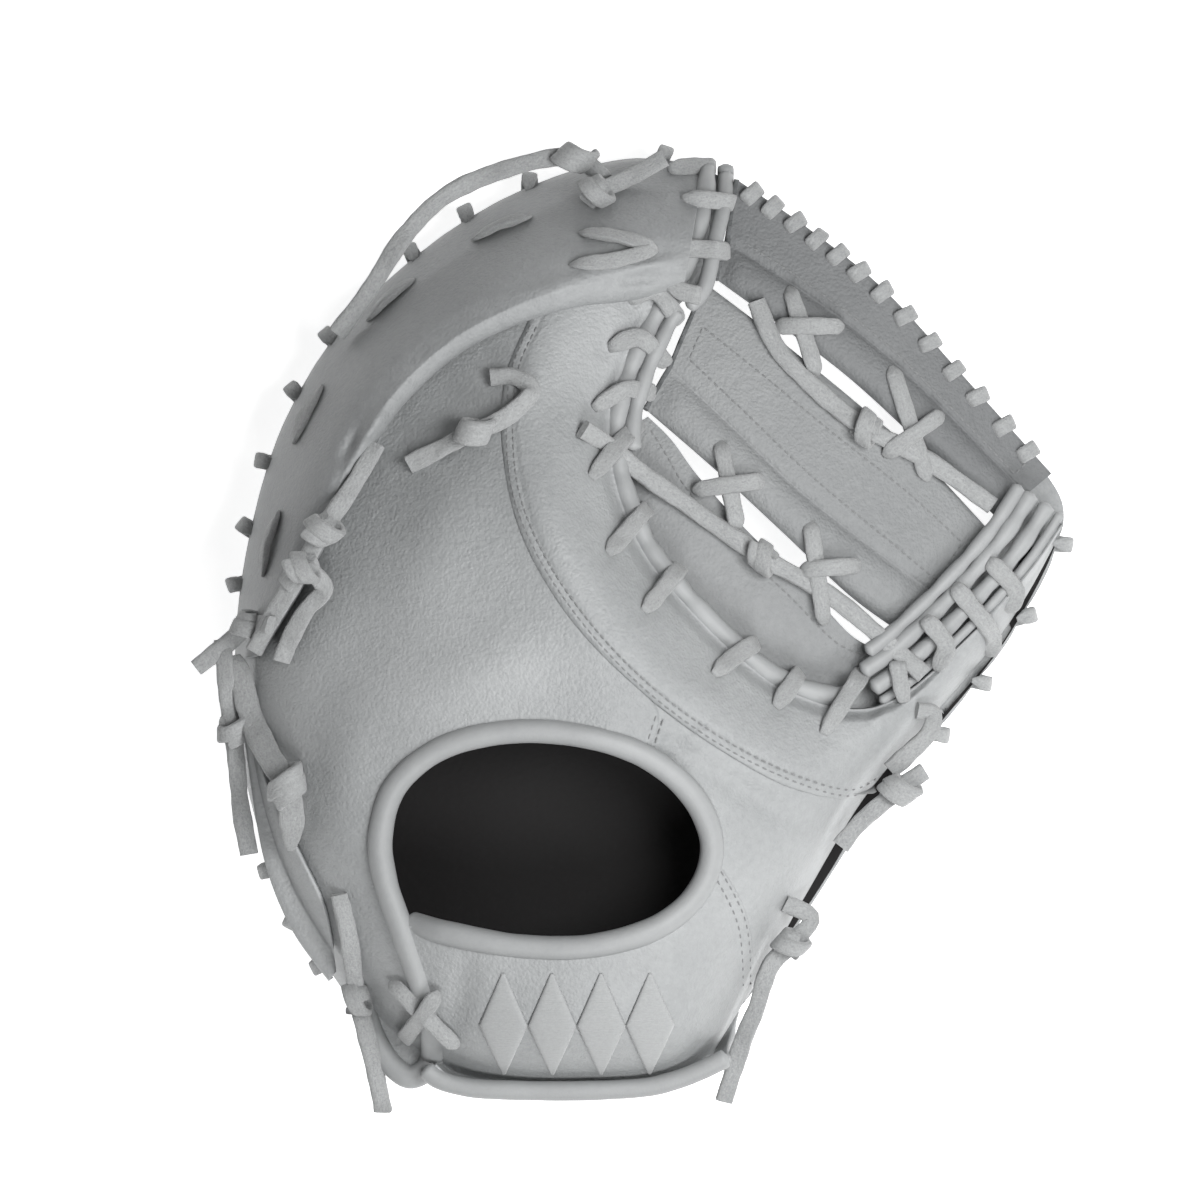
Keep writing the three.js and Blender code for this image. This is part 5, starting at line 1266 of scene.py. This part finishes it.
BACK_STRANDS = {
    "finger_top_lace": ([
        (0.61, 0.918, 3), (0.575, 0.945, 5), (0.52, 0.938, 6), (0.45, 0.91, 8), (0.405, 0.868, 8),
        (0.37, 0.815, 6), (0.335, 0.768, 3)], [(1, 10, 40)]),
    "finger_top_lace_end": ([
        (0.665, 0.945, 6), (0.63, 0.925, 6), (0.597, 0.91, 6.4), (0.588, 0.9, 6)], [(2, 9.5, 20)]),
    "hand_back_lace": ([
        (0.492, 0.722, 2.4), (0.515, 0.722, 3), (0.532, 0.708, 3.2), (0.515, 0.688, 3.6),
        (0.495, 0.675, 4.2), (0.475, 0.668, 5), (0.445, 0.652, 3.6), (0.41, 0.635, 2.4)], [(5, 9.5, 60)]),
    "finger_side_lace": ([
        (0.378, 0.655, 3), (0.352, 0.61, 4.4), (0.325, 0.57, 6), (0.3, 0.525, 4.6), (0.275, 0.485, 3.6),
        (0.255, 0.45, 3)], [(2, 10, 30)]),
    "finger_ring_lace": ([
        (0.287, 0.515, 7), (0.305, 0.532, 7.4), (0.326, 0.512, 6), (0.308, 0.49, 6), (0.295, 0.468, 5),
        (0.282, 0.44, 3.6)], [(1, 9, 0)]),
    "finger_side_tail": ([
        (0.272, 0.475, 7), (0.25, 0.475, 7.4), (0.225, 0.455, 5), (0.195, 0.432, 2.4)], [(1, 9.5, 60)]),
    "little_finger_lace": ([
        (0.222, 0.46, 4), (0.226, 0.41, 5), (0.232, 0.37, 5), (0.236, 0.335, 5), (0.24, 0.29, 2),
        (0.248, 0.245, 0)], [(2, 8.5, 90)]),
    "heel_left_lace": ([
        (0.34, 0.207, 2.6), (0.35, 0.16, 4), (0.357, 0.1, 6), (0.365, 0.07, 5), (0.375, 0.025, 0),
        (0.382, -0.013, -8)], [(2, 9, 0)]),
    "thumb_side_loop": ([
        (0.918, 0.389, 2.6), (0.934, 0.386, 3.4), (0.931, 0.368, 3.6), (0.912, 0.348, 2.8),
        (0.891, 0.329, 2.2)], []),
    "thumb_side_lace": ([
        (0.925, 0.328, 2), (0.9, 0.31, 4), (0.862, 0.278, 3), (0.841, 0.253, 2)], [(1, 9.5, 30)]),
    "heel_right_lace": ([
        (0.785, 0.196, 0), (0.812, 0.181, 1.6), (0.792, 0.156, 2.6), (0.77, 0.132, 2), (0.757, 0.09, -4),
        (0.745, 0.06, -10), (0.725, -0.005, -20)], [(2, 9, 50)]),
}
WEB_STRANDS = {
    "web_tie_lace": ([
        (0.757, 0.8, 2.4), (0.78, 0.75, 2.6), (0.83, 0.7, 2.6), (0.868, 0.672, 3), (0.93, 0.64, 3.4),
        (0.995, 0.595, 4)], [(3, 9.5, -40)]),
    "crotch_tie_lace": ([
        (0.583, 0.67, 24), (0.612, 0.652, 12.5), (0.64, 0.628, 6), (0.68, 0.6, 2.4), (0.763, 0.543, 2.6),
        (0.83, 0.505, 2.8), (0.885, 0.46, 8), (0.925, 0.425, 12.4)], [(4, 8.5, -35)]),
}
for strands, base in ((BACK_STRANDS, over_all), (WEB_STRANDS, web_top)):
    for k, (name, (rows, knots)) in enumerate(strands.items()):
        run, spots = strand(rows, base, seed=1.7 * k + len(name))
        parts = [run]
        for row, size, turn in knots:
            a = math.radians(turn)
            centre = spots[row] + UP * size * 0.2
            parts.append(knot(centre, [math.cos(a), math.sin(a), 0.1], 1.3 * size, row + k, 1.8, 5.4))
        lace_piece(name, parts)

CROSSES = {
    "web_cross_lace_1": ((0.79, 0.815, 0.818, 0.725), (0.775, 0.775, 0.845, 0.775)),
    "web_cross_lace_2": ((0.893, 0.735, 0.93, 0.62), (0.885, 0.645, 0.945, 0.688)),
    "web_cross_lace_3": ((0.72, 0.66, 0.738, 0.57), (0.693, 0.61, 0.765, 0.62)),
    "web_cross_lace_4": ((0.81, 0.58, 0.825, 0.475), (0.8, 0.53, 0.862, 0.535)),
    "strap_cross_lace": ((0.391, 0.12, 0.458, 0.054), (0.403, 0.059, 0.44, 0.111)),
}
CROSS_RISE = ((0, -2.5), (0.14, -0.3), (0.3, 0.2), (0.5, 0.4), (0.7, 0.2), (0.86, -0.3), (1, -2.5))
for name, lines in CROSSES.items():
    base, over = (drape, 5.4) if name == "strap_cross_lace" else (web_top, 3.4)
    parts = []
    for upper, (x0, y0, x1, y1) in enumerate(lines):
        rows = [(x0 + (x1 - x0) * share, y0 + (y1 - y0) * share,
                 over + up + upper * 2.4 * math.sin(math.pi * share) ** 2) for share, up in CROSS_RISE]
        parts.append(strand(rows, base, CROSS_WIDTH, seed=x0 * 9 + upper, taper=(4, 4), twist=0.3)[0])
    lace_piece(name, parts)

broad, spots = strand([
    (0.235, 0.445, 4), (0.25, 0.385, 6.5), (0.268, 0.347, 7.5), (0.288, 0.315, 8), (0.293, 0.28, 7.5),
    (0.291, 0.25, 7)], drape, *BROAD_LACE, 2.0, 16, (8, 13), 0.2)
keeper = knot(spots[3] + UP, spots[4] - spots[3], 15.0, 1.0, 1.6, 6.0)
lace_piece("little_finger_strap", [broad, keeper])

# Laces through slits in the finger band.
SLITS = [
    ((472, 237), (500, 222), (530, 214)), ((366, 317), (388, 294), (412, 276)),
    ((292, 441), (304, 412), (320, 385)), ((262, 575), (266, 543), (278, 512)),
    ((580, 232), (618, 237), (657, 249)), ((571, 265), (612, 262), (657, 249)),
]
parts = []
for k, line in enumerate(SLITS):
    path = taut(through(px(*line), 50), covered, 2.5, 2.9)
    parts.append(strip(path, surface_normal(covered, path[:, :2], 2.0), *SLIT_LACE, k, (10, 10), 0.3))
lace_piece("finger_band_lace", parts, ())

# Stitching.
THUMB_SEAM = (
    (527, 322), (507, 370), (502, 430), (510, 500), (540, 570), (590, 640), (650, 700), (720, 750),
    (790, 785), (850, 802), (885, 790),
)


def on_thumb(p):
    return skin(p) + 1.1


def line_of(*points, count=400):
    """A smooth plan line through places of the picture."""
    return resample(spline(px(*points), np.linspace(0, len(points) - 1, count)), count)


def strap_line(rows, first, last, share, steps=120):
    """A plan line on a web strap between two of its rows, and between two shares of the way from its outer
    edge to its fold."""
    at = spline(rows, np.linspace(first, last, steps))
    return place(at[:, :2] + (at[:, 2:4] - at[:, :2]) * np.linspace(*share, steps)[:, None])


seam = line_of(*THUMB_SEAM)
SEAMS = [
    (on_thumb, sideways(seam, 1.7)), (on_thumb, sideways(seam, 3.7)),
    (skin, line_of((656, 713), (650, 731), (645, 748))), (skin, line_of((663, 717), (657, 735), (652, 752))),
    (strap_height, line_of((715, 860), (745, 920), (752, 990))),
    (strap_height, line_of((707, 862), (737, 922), (744, 990))),
    (web_top, strap_line(MIDDLE_STRAP, 0.22, 3.8, (0.41, 0.34))),
    (web_top, strap_line(MIDDLE_STRAP, 0.22, 3.8, (0.79, 0.87))),
    (web_top, strap_line(MIDDLE_STRAP, 0.22, 0.22, (0.41, 0.79))),
    (web_top, strap_line(MIDDLE_STRAP, 3.8, 3.8, (0.34, 0.87))),
    (web_top, strap_line(OUTER_STRAP, 0.2, 3.8, (0.86, 0.86))),
    (web_top, strap_line(OUTER_STRAP, 3.8, 3.8, (0.1, 0.86))),
    (leaf_height, leaf_top[14:-14] + (leaf_low - leaf_top)[14:-14] * 0.2),
]


def gathered(grids):
    """Several surfaces of points and faces as one."""
    starts = np.cumsum([0] + [points[..., 0].size for points, _ in grids])
    return (np.concatenate([points.reshape(-1, 3) for points, _ in grids]),
            np.concatenate([quads + start for (_, quads), start in zip(grids, starts)]))


points, quads = gathered([stitch_row(line, height) for height, line in SEAMS])
mesh_of("stitches_look", points, quads, thread)


# The strap's satin-stitched motif: a row of plain diamonds.
def diamond(x, y, half_width, half_height, m=150, n=24):
    """One diamond: rows of thread lie across it, each a rounded ridge, on a padded ground."""
    up, across = np.linspace(-1, 1, m)[:, None], np.linspace(-1, 1, n)[None]
    wide = half_width * (1 - np.abs(up)) + 0.15
    plan = px((x, y))[0] + np.stack([across * wide, up * half_height + 0 * across], -1)
    ridge = 0.16 * np.abs(np.sin(up * half_height * np.pi / 0.62))
    pad = 0.85 * np.sqrt(np.maximum(1 - across**4, 0)) * np.minimum(1, wide / 2.5)
    return lifted(plan, strap_height(plan) + 0.1 + pad + ridge * (np.abs(across) < 0.999)), grid_quads(m, n)


points, quads = gathered([diamond(504 + 48.5 * k, 1022, 7.4, 16.5) for k in range(4)])
mesh_of("strap_motif_look", points, quads, satin, uv=points[:, :2], wall=0.4)

# Floor, light and camera.
floor_material, nodes, links, shader = new_material("floor", 0.9)
shader.inputs["Base Color"].default_value = (0.93, 0.93, 0.93, 1)
shader.inputs["Emission Color"].default_value = (1, 1, 1, 1)
shader.inputs["Emission Strength"].default_value = 0.72
bpy.ops.mesh.primitive_plane_add(size=6, location=(0, 0, -0.0005))
floor = bpy.context.object
floor.name = "floor"
floor.data.materials.append(floor_material)

world = bpy.data.worlds.new("soft_sky")
bpy.context.scene.world = world
world.use_nodes = True
world.node_tree.nodes["Background"].inputs["Color"].default_value = (1, 1, 1, 1)
world.node_tree.nodes["Background"].inputs["Strength"].default_value = 0.23


def lamp(name, place_at, target, size, power):
    """A round soft lamp that faces a target and isn't seen itself."""
    data = bpy.data.lights.new(name, "AREA")
    data.shape, data.size, data.energy = "DISK", size, power
    light = bpy.data.objects.new(name, data)
    bpy.context.scene.collection.objects.link(light)
    light.visible_camera = False
    light.location = place_at
    way = np.array(target) - np.array(place_at)
    light.rotation_euler = (math.atan2(math.hypot(way[0], way[1]), -way[2]), 0,
                            math.atan2(way[1], way[0]) - math.pi / 2)


lamp("key", (0.25, -1.0, 1.25), (0, 0, 0.05), 0.8, 13.8)
lamp("near", (0.24, 0.03, 0.6), (0.03, 0.0, 0.06), 0.3, 3.4)

camera_data = bpy.data.cameras.new("camera")
camera_data.lens = 281.25
camera_data.sensor_width = 36
camera = bpy.data.objects.new("camera", camera_data)
bpy.context.scene.collection.objects.link(camera)
camera.location = (-0.01145, 0.008525, 3.06)
bpy.context.scene.camera = camera
bpy.context.scene.view_settings.view_transform = "Standard"
